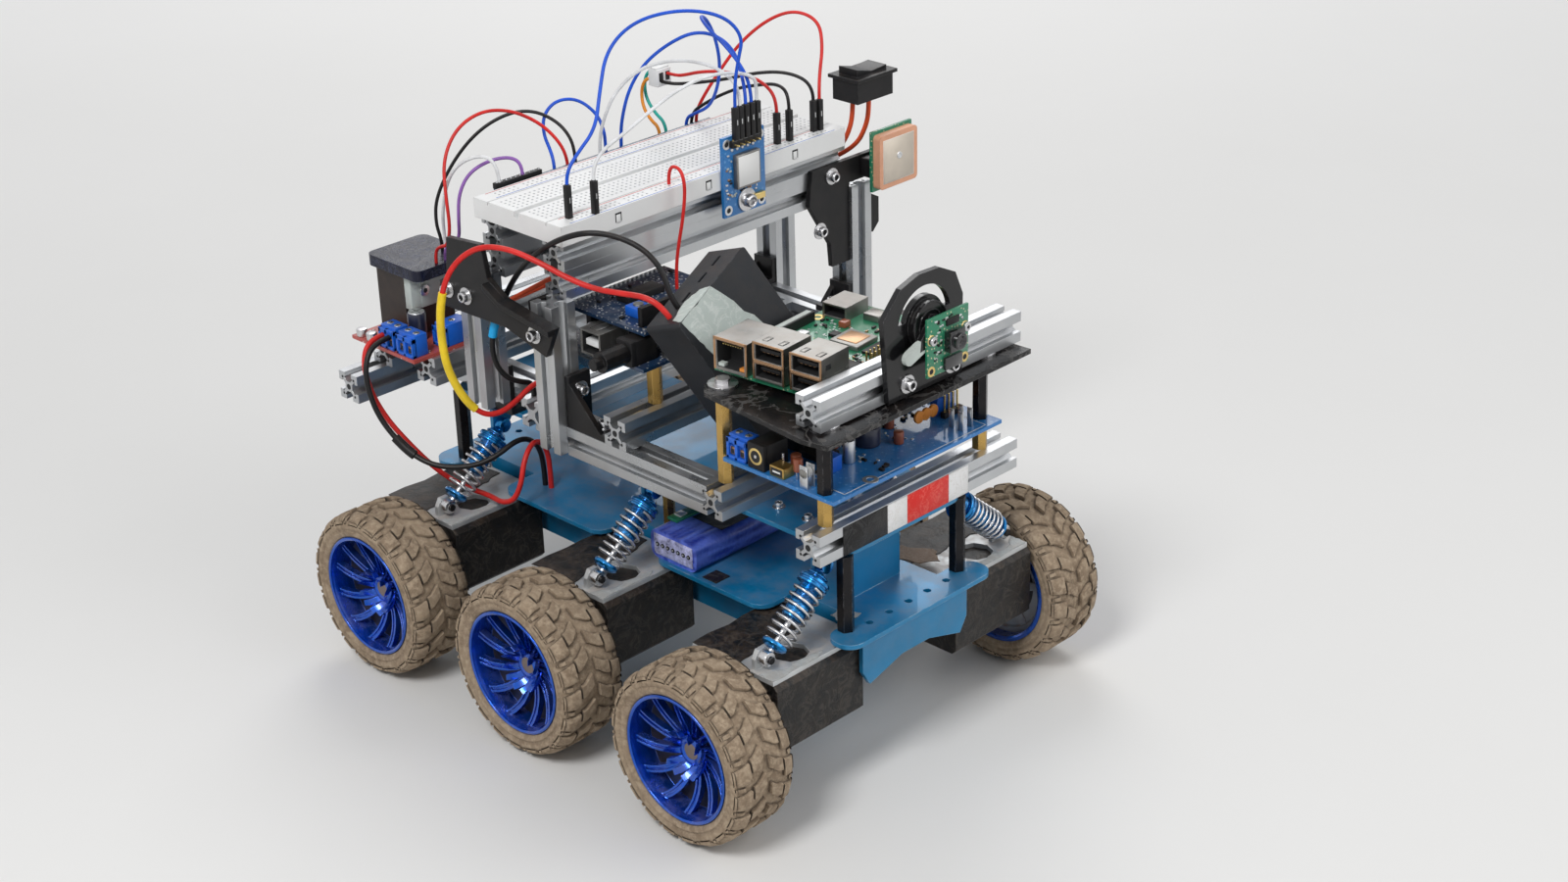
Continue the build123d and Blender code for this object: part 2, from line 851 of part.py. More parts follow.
def controller_boards():
    """Microcontroller board, the add-on board above it, and one upright behind the rear rail."""
    return [
        block(controller_x, controller_y, (controller_top - pcb, controller_top)),
        block(shield_x, shield_y, (shield_top - pcb, shield_top)),
        block((rear_board_x - pcb, rear_board_x), rear_board_y, rear_board_z),
    ]


# name, x from, x to, y from, y to, height
controller_table = (
    ("power_jack", -6.4, 2.6, -36.0, -22.0, 11.0),
    ("usb_socket", -25.5, -13.5, -38.5, -22.5, 10.9),
    ("near_pins", 0.5, 3.5, -14.0, 24.0, 12.4),
    ("far_pins", -43.0, -40.0, -20.0, 24.0, 12.4),
    ("chip", -24.0, -14.0, -6.0, 24.0, 3.5),
)


def controller_parts():
    """Sockets, pin rows and chip between the two stacked boards."""
    solids = []
    for _, x0, x1, y0, y1, height in controller_table:
        solids.append(block((x0, x1), (y0, y1), (controller_top, controller_top + height)))
    back = rear_board_x - pcb
    top = rear_board_z[1]
    solids.append(block((back - 0.5, rear_board_x + 0.5), (rear_board_y[0], -6), (top, top + 2.5)))
    solids.append(block((back - pin_strip, back), (2, rear_board_y[1]), (183, pin_strip_top)))
    solids.append(block((rear_board_x, rear_rail_x), (0, 12), (185, 193)))
    return solids


def power_plug():
    """Round plug in the controller's power jack."""
    x = (controller_table[0][1] + controller_table[0][2]) / 2
    face = controller_table[0][3]
    z = controller_top + 5.5
    plug = link((x, face, z), (x, face - plug_length, z), 4.4, 12)
    plug += link((x, face - plug_length, z), (x, face - plug_length - plug_neck, z), 2.6)
    return [plug]


# Breadboard and what is fixed beside it


def breadboard():
    """White solderless board in three strips, with shallow grooves between and along them."""
    board = block(board_x, board_y, (rail_top, rail_top + board_thickness))
    top = rail_top + board_thickness
    for x in (board_x[0] + power_strip, board_x[1] - power_strip):
        half = strip_groove / 2
        board -= block((x - half, x + half), (board_y[0] - 1, board_y[1] + 1), (top - 1.5, top + 1))
    middle = (board_x[0] + board_x[1]) / 2
    half = middle_groove / 2
    board -= block((middle - half, middle + half), (board_y[0] - 1, board_y[1] + 1), (top - 2.5, top + 1))
    return [board]


def satellite_module():
    """Upright blue board against the breadboard's edge, with its bolt into the rail."""
    x = board_x[1]
    board = block((x, x + pcb), module_y, module_z)
    spacer = link((front_rail_x + bar, 55, 190), (x, 55, 190), 2.6)
    head = link((x + pcb, 55, 190), (x + pcb + 1, 55, 190), 5.2)
    head += link((x + pcb + 1, 55, 190), (x + pcb + 4.5, 55, 190), bolt_head_radius)
    return [board + spacer + head]


def satellite_can():
    """Shielded receiver on the upright board, and its pin row."""
    x = board_x[1] + pcb
    can = block((x, x + 2.6), (48, 62), (196.5, 211.5))
    pins = block((x, x + 5), (46, 63), (215, 219))
    return [can, pins]


def antenna_board():
    """Green board that holds the antenna patch, on a foam pad against the gusset."""
    board = block((antenna_x, antenna_x + pcb), antenna_y, antenna_z)
    pad = block((front_rail_x + bar + bracket, antenna_x), (131, 139.5), (179, 188))
    return [board + pad]


def antenna_patch():
    y = (antenna_y[0] + antenna_y[1]) / 2
    z = (antenna_z[0] + antenna_z[1]) / 2
    half = patch / 2
    x = antenna_x + pcb
    outer = block((x, x + patch_thickness), (y - half, y + half), (z - half, z + half))
    return [fillet(outer.edges().filter_by(Axis.X), 2.0)]


def rocker_switch():
    """Black snap-in switch held up by its own two stiff leads."""
    middle_y = (switch_y[0] + switch_y[1]) / 2
    z = switch_z
    body = block((switch_x - switch_depth / 2, switch_x + switch_depth / 2), switch_y, (z[0], z[1] - 3))
    flange = block(
        (switch_x - switch_depth / 2 - 1.5, switch_x + switch_depth / 2 + 1.5),
        (switch_y[0] - 1.5, switch_y[1] + 1.5),
        (z[1] - 3, z[1] - 1.5),
    )
    rocker = plate_yz(
        (
            (switch_y[0] + 2, z[1] - 1.5),
            (switch_y[0] + 2, z[1] + 2),
            (middle_y, z[1] - 0.3),
            (switch_y[1] - 2, z[1] + 0.4),
            (switch_y[1] - 2, z[1] - 1.5),
        ),
        (switch_x - switch_depth / 2 + 2, switch_x + switch_depth / 2 - 2),
    )
    return [body + flange + rocker]


# Case, battery and motor driver


def case_frame():
    """Plane of the case's big face: X across it, Y down it and Z out of it, from its top corner."""
    lean = math.radians(case_lean)
    normal = Vector(math.cos(lean), 0, math.sin(lean))
    flat = Vector(0, -1, 0)
    down = Vector(math.sin(lean), 0, -math.cos(lean))
    roll = math.radians(case_roll)
    across = flat * math.cos(roll) + down * math.sin(roll)
    return Plane(origin=case_corner, x_dir=across, z_dir=normal)


def tilted_case():
    """Dark rectangular case standing on one corner against the deck, with slots along its top."""
    case = Box(case_width, case_height, case_thickness, align=(Align.MIN, Align.MIN, Align.MAX))
    case = fillet(case.edges().filter_by(Axis.Z), case_corner_radius)
    for x in case_slots:
        case -= Pos(x, 0, -case_thickness / 2) * Box(slot_length, 2 * slot_recess, slot_height)
    return [case_frame() * case]


def battery_pack():
    """Shrink-wrapped cell pack on the lower plate, rounded along its length."""
    pack = block(battery_x, battery_y, (lower_plate_top, lower_plate_top + battery_height))
    return [fillet(pack.edges().filter_by(Axis.Y), battery_corner)]


def motor_driver():
    level = short_bar_level()
    return [block(driver_x, driver_y, (level, level + pcb))]


# name, x from, x to, y from, y to, height
driver_table = (
    ("left_terminal", -126.0, -116.0, -66.5, -58.0, 10.0),
    ("middle_terminal", -114.0, -103.0, -66.5, -58.0, 10.0),
    ("right_terminal", -110.0, -102.0, -50.0, -36.0, 10.0),
)


def driver_parts():
    """Blue screw terminals and the round capacitor on the driver board."""
    level = short_bar_level() + pcb
    solids = []
    for _, x0, x1, y0, y1, height in driver_table:
        solids.append(block((x0, x1), (y0, y1), (level, level + height)))
    solids.append(prism(-119.5, -50.5, (level, level + 13), 8.4, 12))
    return solids


def heat_sink():
    """Finned heat sink upright on the driver board."""
    level = short_bar_level() + pcb
    sink = block(sink_x, sink_y, (level, level + sink_height))
    pitch = (sink_y[1] - sink_y[0]) / sink_fins
    for n in range(sink_fins):
        gap = sink_y[0] + pitch * (n + 0.5)
        slot_x = (sink_x[0] + 4, sink_x[1] - 5)
        sink -= block(slot_x, (gap - 1.2, gap + 1.2), (level - 1, level + sink_height + 1))
    chip = block((sink_x[1], sink_x[1] + 4.5), (-46, -28), (level, level + 22))
    return [sink + chip]


def sink_lid():
    """Taped pad that lies on the heat sink."""
    level = short_bar_level() + pcb + sink_height
    pad = block(lid_x, lid_y, (level, level + lid_height))
    return [fillet(pad.edges().filter_by(Axis.Z), 4.0)]


# Camera


def camera_bracket():
    """Black arched plate bolted to the camera bar, with a round boss and an arched slot above it."""
    face = camera_bar_x + bar
    outline = (
        (-13.0, deck_top + 1.5),
        (-15.8, 195.0),
        (-6.0, 205.0),
        (4.0, 208.0),
        (16.0, 207.5),
        (25.0, 203.0),
        (29.4, 193.0),
        (29.0, deck_top + 1.5),
    )
    plate = plate_yz(outline, (face, face + camera_plate))
    centre = (camera_disc_y, camera_disc_z)
    ring = Circle(camera_slot_outer) - Circle(camera_slot_inner)
    ring = ring & Pos(0, camera_slot_outer / 2 + 3) * Rectangle(3 * camera_slot_outer, camera_slot_outer)
    slot = Plane.YZ.offset(face - 1) * Pos(*centre) * ring
    plate -= extrude(slot, camera_plate + 2)
    boss = face + camera_plate + camera_boss
    plate += link((face + camera_plate, *centre), (boss, *centre), camera_disc_radius, 24)
    arm = ((-0.5, 184.0), (-1.0, 179.5), (12.0, 181.5), (12.0, 190.5), (7.0, 192.0))
    plate += plate_yz(arm, (boss, boss + camera_arm))
    return [plate]


def camera_module():
    """Small upright board with its square lens block and round barrel."""
    back = camera_bar_x + bar + camera_plate + camera_boss + camera_arm
    board = block((back, back + 1.2), camera_board_y, camera_board_z)
    x = back + 1.2
    y = (camera_board_y[0] + camera_board_y[1]) / 2 + 2.0
    z = (camera_board_z[0] + camera_board_z[1]) / 2 + 0.5
    lens = block((x, x + 3.4), (y - 4.2, y + 4.2), (z - 4.2, z + 4.2))
    lens += link((x + 3.4, y, z), (x + 5.4, y, z), 3.4, 12)
    return [board + lens]


# Wires. Each route is a list of points from one end to the other


def wire(points, diameter):
    """Round wire: straight runs joined by arcs as large as the runs beside each corner allow."""
    route = [Vector(*point) for point in points]
    radii = []
    for before, corner, after in zip(route, route[1:], route[2:]):
        arriving = corner - before
        leaving = after - corner
        turn = math.radians(arriving.get_angle(leaving))
        radii.append(0.45 * min(arriving.length, leaving.length) / math.tan(turn / 2))
    path = FilletPolyline(*route, radius=radii)
    start = Plane(origin=path @ 0, z_dir=path % 0)
    section = RegularPolygon(diameter / 2, wire_facets)
    solid = sweep(start * section, path=path)
    expected = section.area * path.length
    print(f"wire {path.length:.0f} mm, radii {min(radii):.1f} to {max(radii):.1f}, volume / expected")
    print(f"  {solid.volume / expected:.4f}")
    return solid


# Single-wire housings: x, y of each, on the breadboard, on the satellite module, behind the rear rail
board_housings = ((-29.5, -37), (-25.4, -26.5), (-30.5, 83.3), (-29.4, 89.8), (-30.4, 106), (-29.6, 109))
module_housings = ((-19, 47.4), (-19, 50.2), (-19, 53.6), (-19, 56.9), (-19, 60.2))
rear_housings_x = -86.6
rear_housings_y = (4.5, 8.5, 12, 16.5, 30.5, 34, 43, 66, 70, 82, 85.2, 88.3)
rear_housings_z = 186.0
white_plug = ((-93, -87), (66.5, 75), (223, 231))
sleeve = 4.0


def wire_housings():
    """Black housings at the ends of the jumpers, and the white two-way plug behind them."""
    places = [(x, y, rail_top + board_thickness) for x, y in board_housings]
    places += [(x, y, 219) for x, y in module_housings]
    places += [(rear_housings_x, y, rear_housings_z) for y in rear_housings_y]
    half = housing_side / 2
    solids = [
        block((x - half, x + half), (y - half, y + half), (z, z + housing_length)) for x, y, z in places
    ]
    return [*solids, block(*white_plug)]


red_jumper_routes = (
    # breadboard to the rear board
    (
        (-29.6, 109, 219.5), (-29.6, 109, 223.5), (-32.5, 112.5, 229.5), (-36.5, 119, 240),
        (-42, 122.5, 249.5), (-52, 118, 253.5), (-62, 111, 249), (-71.5, 102.5, 238.5),
        (-79, 95, 224), (-84, 90, 213), (-86.6, 88.3, 206), (-86.6, 88.3, 200),
    ),
    # breadboard to the white plug
    (
        (-30.5, 83.3, 219.5), (-30.5, 83.3, 224), (-34.5, 84, 229), (-45, 85, 232),
        (-58.5, 82, 232.5), (-70, 77.5, 231.5), (-78, 73, 229), (-82.5, 72.5, 228.5), (-87, 72.5, 228.5),
    ),
    # rear board to the heat sink lid
    (
        (-86.6, 12, 200), (-86.6, 12, 206), (-89.5, 9, 214.5), (-95, 3, 222.5), (-102, -6, 228),
        (-108, -16.5, 228.5), (-111.5, -27.5, 222.5), (-110.5, -36, 211), (-104.5, -40.5, 197.5),
        (-101.5, -42, 185), (-105, -41.5, 176), (-111, -40.5, 174), (-116, -40, 170.5), (-116, -40, 165),
    ),
    # breadboard's edge to the add-on board
    (
        (-28.5, 17, 205.5), (-28.5, 17, 210), (-25.5, 16.5, 214.5), (-19.5, 16, 214), (-17, 15.5, 207),
        (-18, 14.5, 194), (-20, 12.5, 180), (-20.5, 11.5, 170), (-20.5, 11.5, 162.6),
    ),
)

black_jumper_routes = (
    # breadboard to the white plug
    (
        (-30.4, 106, 219.5), (-30.4, 106, 224), (-34.5, 104.7, 229), (-44, 101, 231),
        (-54, 94.5, 230), (-64, 87, 227), (-73, 79, 225.5), (-78, 72, 225.5), (-82.5, 69, 225.5),
        (-87, 69, 225.5),
    ),
    # breadboard to the rear board
    (
        (-29.4, 89.8, 219.5), (-29.4, 89.8, 224), (-33, 91, 228), (-41, 93, 228),
        (-50.5, 93.3, 225.5), (-60, 91.5, 223), (-69.5, 88.5, 218.5), (-78.5, 86.5, 213),
        (-86.6, 85.2, 207), (-86.6, 85.2, 200),
    ),
    # rear board to the heat sink lid
    (
        (-86.6, 16.5, 200), (-86.6, 16.5, 206), (-89, 16.5, 213), (-95.5, 15, 219), (-104, 9.5, 223.5),
        (-112, 1.5, 222.5), (-120, -9, 215.5), (-126, -19, 203), (-129, -27.5, 188), (-128, -29.5, 177),
        (-125.5, -29, 170), (-125.5, -29, 165),
    ),
)

coloured_jumper_routes = (
    # blue, breadboard to the satellite module
    (
        (-29.5, -37, 219.5), (-29.5, -37, 224.5), (-30, -30.5, 230.5), (-31, -19, 238), (-36, -11.5, 250),
        (-41.5, -2, 264.5), (-39.5, 12, 274), (-31, 30, 276.5), (-22, 45, 272.5), (-17.5, 52, 263),
        (-18.5, 49.5, 252.5), (-19, 47.4, 242), (-19, 47.4, 233),
    ),
    # blue, satellite module to the rear board
    (
        (-19, 53.6, 233), (-19, 53.6, 237.5), (-24, 57, 243), (-32, 61.5, 250.5), (-42, 62, 256),
        (-53, 58, 257), (-64, 52, 250.5), (-74, 47, 241), (-80.5, 43.5, 229), (-84, 42, 216),
        (-86.6, 43, 207), (-86.6, 43, 200),
    ),
    # blue, satellite module to the rear board, the long way round
    (
        (-19, 56.9, 233), (-19, 56.9, 237.5), (-21.5, 56.5, 245.5), (-29.5, 54.5, 255), (-40, 53.5, 261.5),
        (-49, 57.5, 264.5), (-53, 65, 261), (-54, 70.5, 252.5), (-54.5, 73.5, 242), (-58, 76.5, 232),
        (-64, 79.5, 222),
        (-72, 82.5, 213.5), (-80.5, 82, 209), (-86.6, 82, 205.5), (-86.6, 82, 200),
    ),
    # white, satellite module to the breadboard
    (
        (-19, 60.2, 233), (-19, 60.2, 237.5), (-17.5, 58, 244.5), (-23.5, 49.5, 247), (-27, 37, 247),
        (-28, 21, 244), (-28.2, 5, 238), (-28, -8, 233), (-27, -18.5, 230.5), (-25.4, -26.5, 225.5),
        (-25.4, -26.5, 219.5),
    ),
    # white, satellite module to the rear board
    (
        (-19, 50.2, 233), (-19, 50.2, 237.5), (-22.5, 51, 242.5), (-30, 51, 246), (-42, 49, 248),
        (-55, 44.5, 247), (-67, 38, 242.5), (-77, 32.5, 231.5), (-83, 30.5, 218.5), (-86.6, 30.5, 208),
        (-86.6, 30.5, 200),
    ),
    # purple, rear board to the heat sink lid
    (
        (-83.3, -15.8, 206), (-83.3, -15.8, 210.5), (-86, -19, 214), (-92, -25.5, 213), (-97.5, -33, 208),
        (-99, -38, 199.5), (-98.5, -39.5, 189), (-101.5, -37.5, 179.5), (-108.5, -35.5, 174),
        (-116, -35, 170.5), (-116, -35, 165),
    ),
    # white, rear board to the heat sink lid
    (
        (-83.3, -28.5, 206), (-83.3, -28.5, 211), (-86, -30.5, 217), (-94, -33.5, 216),
        (-103.5, -36, 209.5), (-111.5, -35.5, 198), (-117.5, -33.5, 184), (-120.5, -31, 172.5), (-120.5, -31, 165),
    ),
    # blue, along the rear board
    (
        (-86.6, 4.5, 200), (-86.6, 4.5, 204.5), (-90, 6, 209), (-98, 9, 214.5), (-103.5, 14.5, 220.5),
        (-103.5, 22, 225), (-98.5, 29.5, 225), (-91.5, 34, 219), (-87, 34, 212), (-86.6, 34, 205.5),
        (-86.6, 34, 200),
    ),
    # teal and orange, white plug to the rear board
    (
        (-93, 72.5, 228.5), (-97, 72.5, 228.5), (-101.5, 72, 224), (-100.5, 71, 215.5), (-94, 70.3, 209.5),
        (-86.6, 70, 206), (-86.6, 70, 200),
    ),
    (
        (-93, 69, 225.5), (-96.5, 69, 225.5), (-99.5, 68, 220.5), (-97.5, 66.5, 212.5), (-92, 66, 207.5),
        (-86.6, 66, 205), (-86.6, 66, 200),
    ),
)

# two leads from the rocker switch, under the breadboard, to the motor driver
switch_routes = (
    (
        (-33, 134, 214), (-33, 134, 206), (-34, 132.5, 198), (-38, 131, 190), (-46, 125.5, 185.5),
        (-51, 113, 183), (-54, 100, 182.5), (-54.5, 84, 182), (-55, 66, 181), (-56, 48, 179.5),
        (-58, 30, 176.5), (-62, 15, 171.5), (-69, 3, 165), (-79, -6, 158), (-90, -13, 150.5),
        (-99, -19, 144), (-105, -27.5, 137), (-105, -36, 137),
    ),
    (
        (-27, 138, 214), (-27, 138, 206.5), (-29, 137.5, 199), (-33.5, 137, 191), (-41.5, 132.5, 184.5),
        (-50, 121, 180.5), (-57, 106, 179.5), (-59, 89, 179), (-59, 71, 178), (-59.5, 53, 176),
        (-61.5, 35, 172.5), (-66, 20, 167), (-73, 8, 160.5), (-83, -1, 154), (-94, -9, 147.5),
        (-102, -17, 142.5), (-108.5, -27, 137), (-108.5, -36, 137),
    ),
)

case_lead_red = (
    (24.8, -34.6, 176.4), (23, -37.1, 181.5), (16, -39.5, 184.5), (5, -41.5, 183.5), (-7, -44.5, 183),
    (-18, -49, 186), (-29, -54, 191.5), (-41, -59.5, 196), (-53, -64, 195.5), (-62, -68.5, 189.5),
    (-67.5, -72.5, 180), (-69.5, -75, 167), (-69.5, -75.5, 153), (-68.5, -74.5, 140), (-65, -70.5, 127),
    (-61, -64.5, 118.5), (-59, -56.5, 117), (-58, -48.5, 120), (-57.5, -40.5, 124.5), (-57.5, -33.5, 125),
    (-57.5, -30, 122.5), (-57.5, -30, 117.7),
)
case_lead_black = (
    (23.98, -29.14, 178.86), (22.2, -31.67, 183.97), (18.5, -31, 193), (10.5, -33, 201), (0, -38, 205.5),
    (-9, -45, 207), (-19.7, -50, 203), (-31.5, -51, 195.5), (-43, -50.5, 186.5), (-55, -47.8, 175),
    (-62, -47.8, 164.5), (-67, -49, 154.5), (-69, -50.2, 145), (-68.5, -50, 135.5), (-66, -46.5, 128),
    (-62.8, -41, 125), (-61.2, -36, 123.5), (-61.2, -36, 117.7),
)
driver_lead_red = (
    (-122.8, -66.5, 138), (-122.8, -74.5, 138), (-121, -79.5, 129), (-117.5, -79.5, 117), (-112, -76.5, 105),
    (-105, -71.5, 94), (-99, -65, 83), (-94, -58, 74.5), (-86.5, -53, 70.7), (-77, -51.5, 70.5),
    (-68, -52.5, 70.5), (-60, -52, 74), (-57.5, -49.5, 82), (-59, -46, 91), (-61.5, -39, 96.5),
    (-63, -32, 94), (-63.5, -29, 87), (-64, -28, 78.5), (-64, -28, 70),
)
driver_lead_black = (
    (-118.4, -66.5, 138), (-118.4, -75, 138), (-117, -81.5, 130.5), (-114, -83, 119.5), (-110, -82, 109),
    (-103.5, -79.5, 100), (-95, -76.5, 93), (-87, -72.5, 89.5), (-80, -66.5, 88.5), (-74, -59, 89),
    (-70, -51, 92), (-68.5, -43, 96), (-68, -36, 95.5), (-68, -30, 89.5), (-68, -28, 79.5), (-68, -28, 70),
)


def wires(routes, diameter):
    return [wire(route, diameter) for route in routes]


def red_jumpers():
    """Red jumpers of the breadboard, the rear board and the add-on board."""
    return wires(red_jumper_routes, jumper)


def black_jumpers():
    """Black jumpers of the breadboard and the rear board."""
    return wires(black_jumper_routes, jumper)


def coloured_jumpers():
    """Blue, white, purple, teal and orange jumpers."""
    return wires(coloured_jumper_routes, jumper)


def red_power_leads():
    """Red leads of the rocker switch, the tilted case and the motor driver."""
    return [*wires(switch_routes, switch_lead), *wires((case_lead_red, driver_lead_red), power_lead)]


def black_power_leads():
    """Black leads of the tilted case and the motor driver."""
    return wires((case_lead_black, driver_lead_black), power_lead)


chassis_nodes = (
    lower_hull,
    top_plate,
    black_pillars,
    shock_bodies,
    shock_rods,
    shock_springs,
    suspension_arms,
    motor_covers,
    axle_shafts,
    plate_bars_across,
    plate_bars_along,
    raised_bars,
    camera_bar,
    posts,
    lower_rails,
    upper_rails,
    strap_bracket,
    corner_brackets,
    deck_plate,
    brass_standoffs,
    deck_washers,
    control_board,
    control_parts,
    computer_board,
    computer_ports,
    controller_boards,
    controller_parts,
    power_plug,
    breadboard,
    satellite_module,
    satellite_can,
    antenna_board,
    antenna_patch,
    rocker_switch,
    tilted_case,
    battery_pack,
    motor_driver,
    driver_parts,
    heat_sink,
    sink_lid,
    camera_bracket,
    camera_module,
    wire_housings,
    red_jumpers,
    black_jumpers,
    coloured_jumpers,
    red_power_leads,
    black_power_leads,
)


def wheel_nodes():
    tyre = tyre_solid()
    rim = rim_solid()
    nodes = {}
    for place, hub_x in axle_places:
        for side_name, side in sides:
            nodes[f"tyre_{place}_{side_name}"] = [placed_wheel(tyre, hub_x, side)]
            nodes[f"rim_{place}_{side_name}"] = [placed_wheel(rim, hub_x, side)]
    return nodes


def write_parts():
    os.makedirs("parts", exist_ok=True)
    nodes = {make.__name__: make() for make in chassis_nodes}
    nodes.update(wheel_nodes())
    to_origin = Pos(-outline_middle_x, -outline_middle_y, 0)
    for name, solids in nodes.items():
        moved = Compound(children=[to_origin * solid for solid in solids])
        export_step(moved, f"parts/{name}.step")


write_parts()
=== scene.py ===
"""Looks of the planetary rover prototype: its finishes, wires, tyres, coils and small fittings.

Places are written in the CAD's chassis millimetres, X forward, Y to the far side, Z up from the ground, and
at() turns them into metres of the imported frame, whose origin is under the middle of the whole outline.
"""

import math
import random

import bmesh
import bpy
from mathutils import Matrix, Vector


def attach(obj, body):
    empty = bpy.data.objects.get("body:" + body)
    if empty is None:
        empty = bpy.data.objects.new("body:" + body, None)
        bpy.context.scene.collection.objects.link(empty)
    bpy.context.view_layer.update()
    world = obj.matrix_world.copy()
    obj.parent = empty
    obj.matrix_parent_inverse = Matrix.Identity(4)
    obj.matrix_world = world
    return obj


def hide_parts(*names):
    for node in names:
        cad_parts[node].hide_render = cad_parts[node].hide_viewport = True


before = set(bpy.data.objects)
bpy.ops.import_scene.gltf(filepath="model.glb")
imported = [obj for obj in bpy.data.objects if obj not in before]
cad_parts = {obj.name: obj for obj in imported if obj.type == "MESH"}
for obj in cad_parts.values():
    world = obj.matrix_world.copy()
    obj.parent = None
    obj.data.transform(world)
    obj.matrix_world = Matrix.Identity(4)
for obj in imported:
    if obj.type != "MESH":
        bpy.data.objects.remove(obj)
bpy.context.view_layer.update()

MM = 0.001
OUTLINE_MIDDLE = (8.0, -24.25)
AXLES = (("rear", -96.0), ("middle", 0.0), ("front", 96.0))
SIDES = (("near", -1), ("far", 1))
FLOAT = "NodeSocketFloat"
VECTOR = "NodeSocketVector"


def at(x, y, z):
    """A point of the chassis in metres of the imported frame."""
    return Vector(((x + OUTLINE_MIDDLE[0]) * MM, (y + OUTLINE_MIDDLE[1]) * MM, z * MM))


# Shader helpers


def add(tree, kind, inputs=None, **settings):
    """A node with its settings, and its inputs set from numbers or linked from sockets."""
    node = tree.nodes.new(kind)
    for name, value in settings.items():
        setattr(node, name, value)
    for key, value in (inputs or {}).items():
        if isinstance(value, bpy.types.NodeSocket):
            tree.links.new(value, node.inputs[key])
        else:
            node.inputs[key].default_value = value
    return node


def colour(r, g, b):
    """An opaque colour."""
    return (r, g, b, 1.0)


def math_node(tree, operation, a, b=0.0, clamp=False):
    """Result of one sum on numbers or sockets."""
    return add(tree, "ShaderNodeMath", {0: a, 1: b}, operation=operation, use_clamp=clamp).outputs[0]


def ramp(tree, value, low, high, to_low=0.0, to_high=1.0):
    """Smooth step of a value between two levels."""
    node = add(
        tree,
        "ShaderNodeMapRange",
        {"Value": value, "From Min": low, "From Max": high, "To Min": to_low, "To Max": to_high},
        interpolation_type="SMOOTHSTEP",
    )
    return node.outputs[0]


def mix(tree, mask, first, second):
    """Colour mixed from the first to the second by a mask."""
    node = add(tree, "ShaderNodeMix", {0: mask}, data_type="RGBA")
    for socket, value in ((node.inputs[6], first), (node.inputs[7], second)):
        if isinstance(value, bpy.types.NodeSocket):
            tree.links.new(value, socket)
        else:
            socket.default_value = value
    return node.outputs[2]


def own_place(tree):
    """A point's place in its piece's own coordinates."""
    return add(tree, "ShaderNodeTexCoord").outputs["Object"]


def noise(tree, place, scale, detail, roughness=0.5, distortion=0.0):
    """Mottling from 0 to 1."""
    values = {
        "Vector": place, "Scale": scale, "Detail": detail, "Roughness": roughness, "Distortion": distortion,
    }
    return add(tree, "ShaderNodeTexNoise", values).outputs[0]


def emboss(tree, shader, strength, distance, height, normal=None):
    """Fine relief of a material, on top of a normal if one is given."""
    values = {"Strength": strength, "Distance": distance, "Height": height}
    if normal is not None:
        values["Normal"] = normal
    tree.links.new(add(tree, "ShaderNodeBump", values).outputs[0], shader.inputs["Normal"])


def new_group(name, inputs, outputs):
    """An empty shader group with its named inputs and outputs."""
    tree = bpy.data.node_groups.new(name, "ShaderNodeTree")
    for label, kind, value in inputs:
        tree.interface.new_socket(label, in_out="INPUT", socket_type=kind).default_value = value
    for label, kind in outputs:
        tree.interface.new_socket(label, in_out="OUTPUT", socket_type=kind)
    return tree, tree.nodes.new("NodeGroupInput").outputs, tree.nodes.new("NodeGroupOutput").inputs


def make_edge_wear():
    """Mask of the worn corners: 1 on a sharp edge, broken up by noise."""
    tree, given, out = new_group(
        "edge wear",
        (("Width", FLOAT, 0.0005), ("Breakup Scale", FLOAT, 300.0), ("Amount", FLOAT, 0.5)),
        (("Mask", FLOAT), ("Normal", VECTOR)),
    )
    rounded = add(tree, "ShaderNodeBevel", {"Radius": given["Width"]}, samples=4)
    flat = add(tree, "ShaderNodeNewGeometry")
    faces = {0: rounded.outputs[0], 1: flat.outputs["Normal"]}
    across = add(tree, "ShaderNodeVectorMath", faces, operation="DOT_PRODUCT")
    edge = ramp(tree, across.outputs["Value"], 0.995, 0.86)
    broken = ramp(tree, noise(tree, own_place(tree), given["Breakup Scale"], 4.0), 0.42, 0.62)
    masked = math_node(tree, "MULTIPLY", edge, broken)
    tree.links.new(math_node(tree, "MULTIPLY", masked, given["Amount"], clamp=True), out["Mask"])
    tree.links.new(rounded.outputs[0], out["Normal"])
    return tree


def make_grain():
    """Mottled tone and fine height of a surface."""
    tree, given, out = new_group(
        "grain",
        (("Tone Scale", FLOAT, 40.0), ("Fine Scale", FLOAT, 900.0), ("Contrast", FLOAT, 1.0)),
        (("Tone", FLOAT), ("Height", FLOAT)),
    )
    place = own_place(tree)
    broad = noise(tree, place, given["Tone Scale"], 5.0, 0.6)
    fine = noise(tree, place, given["Fine Scale"], 3.0, 0.55)
    centred = math_node(tree, "SUBTRACT", broad, 0.5)
    spread = math_node(tree, "MULTIPLY", centred, math_node(tree, "MULTIPLY", given["Contrast"], 2.2))
    tree.links.new(math_node(tree, "ADD", spread, 0.5, clamp=True), out["Tone"])
    tree.links.new(fine, out["Height"])
    return tree


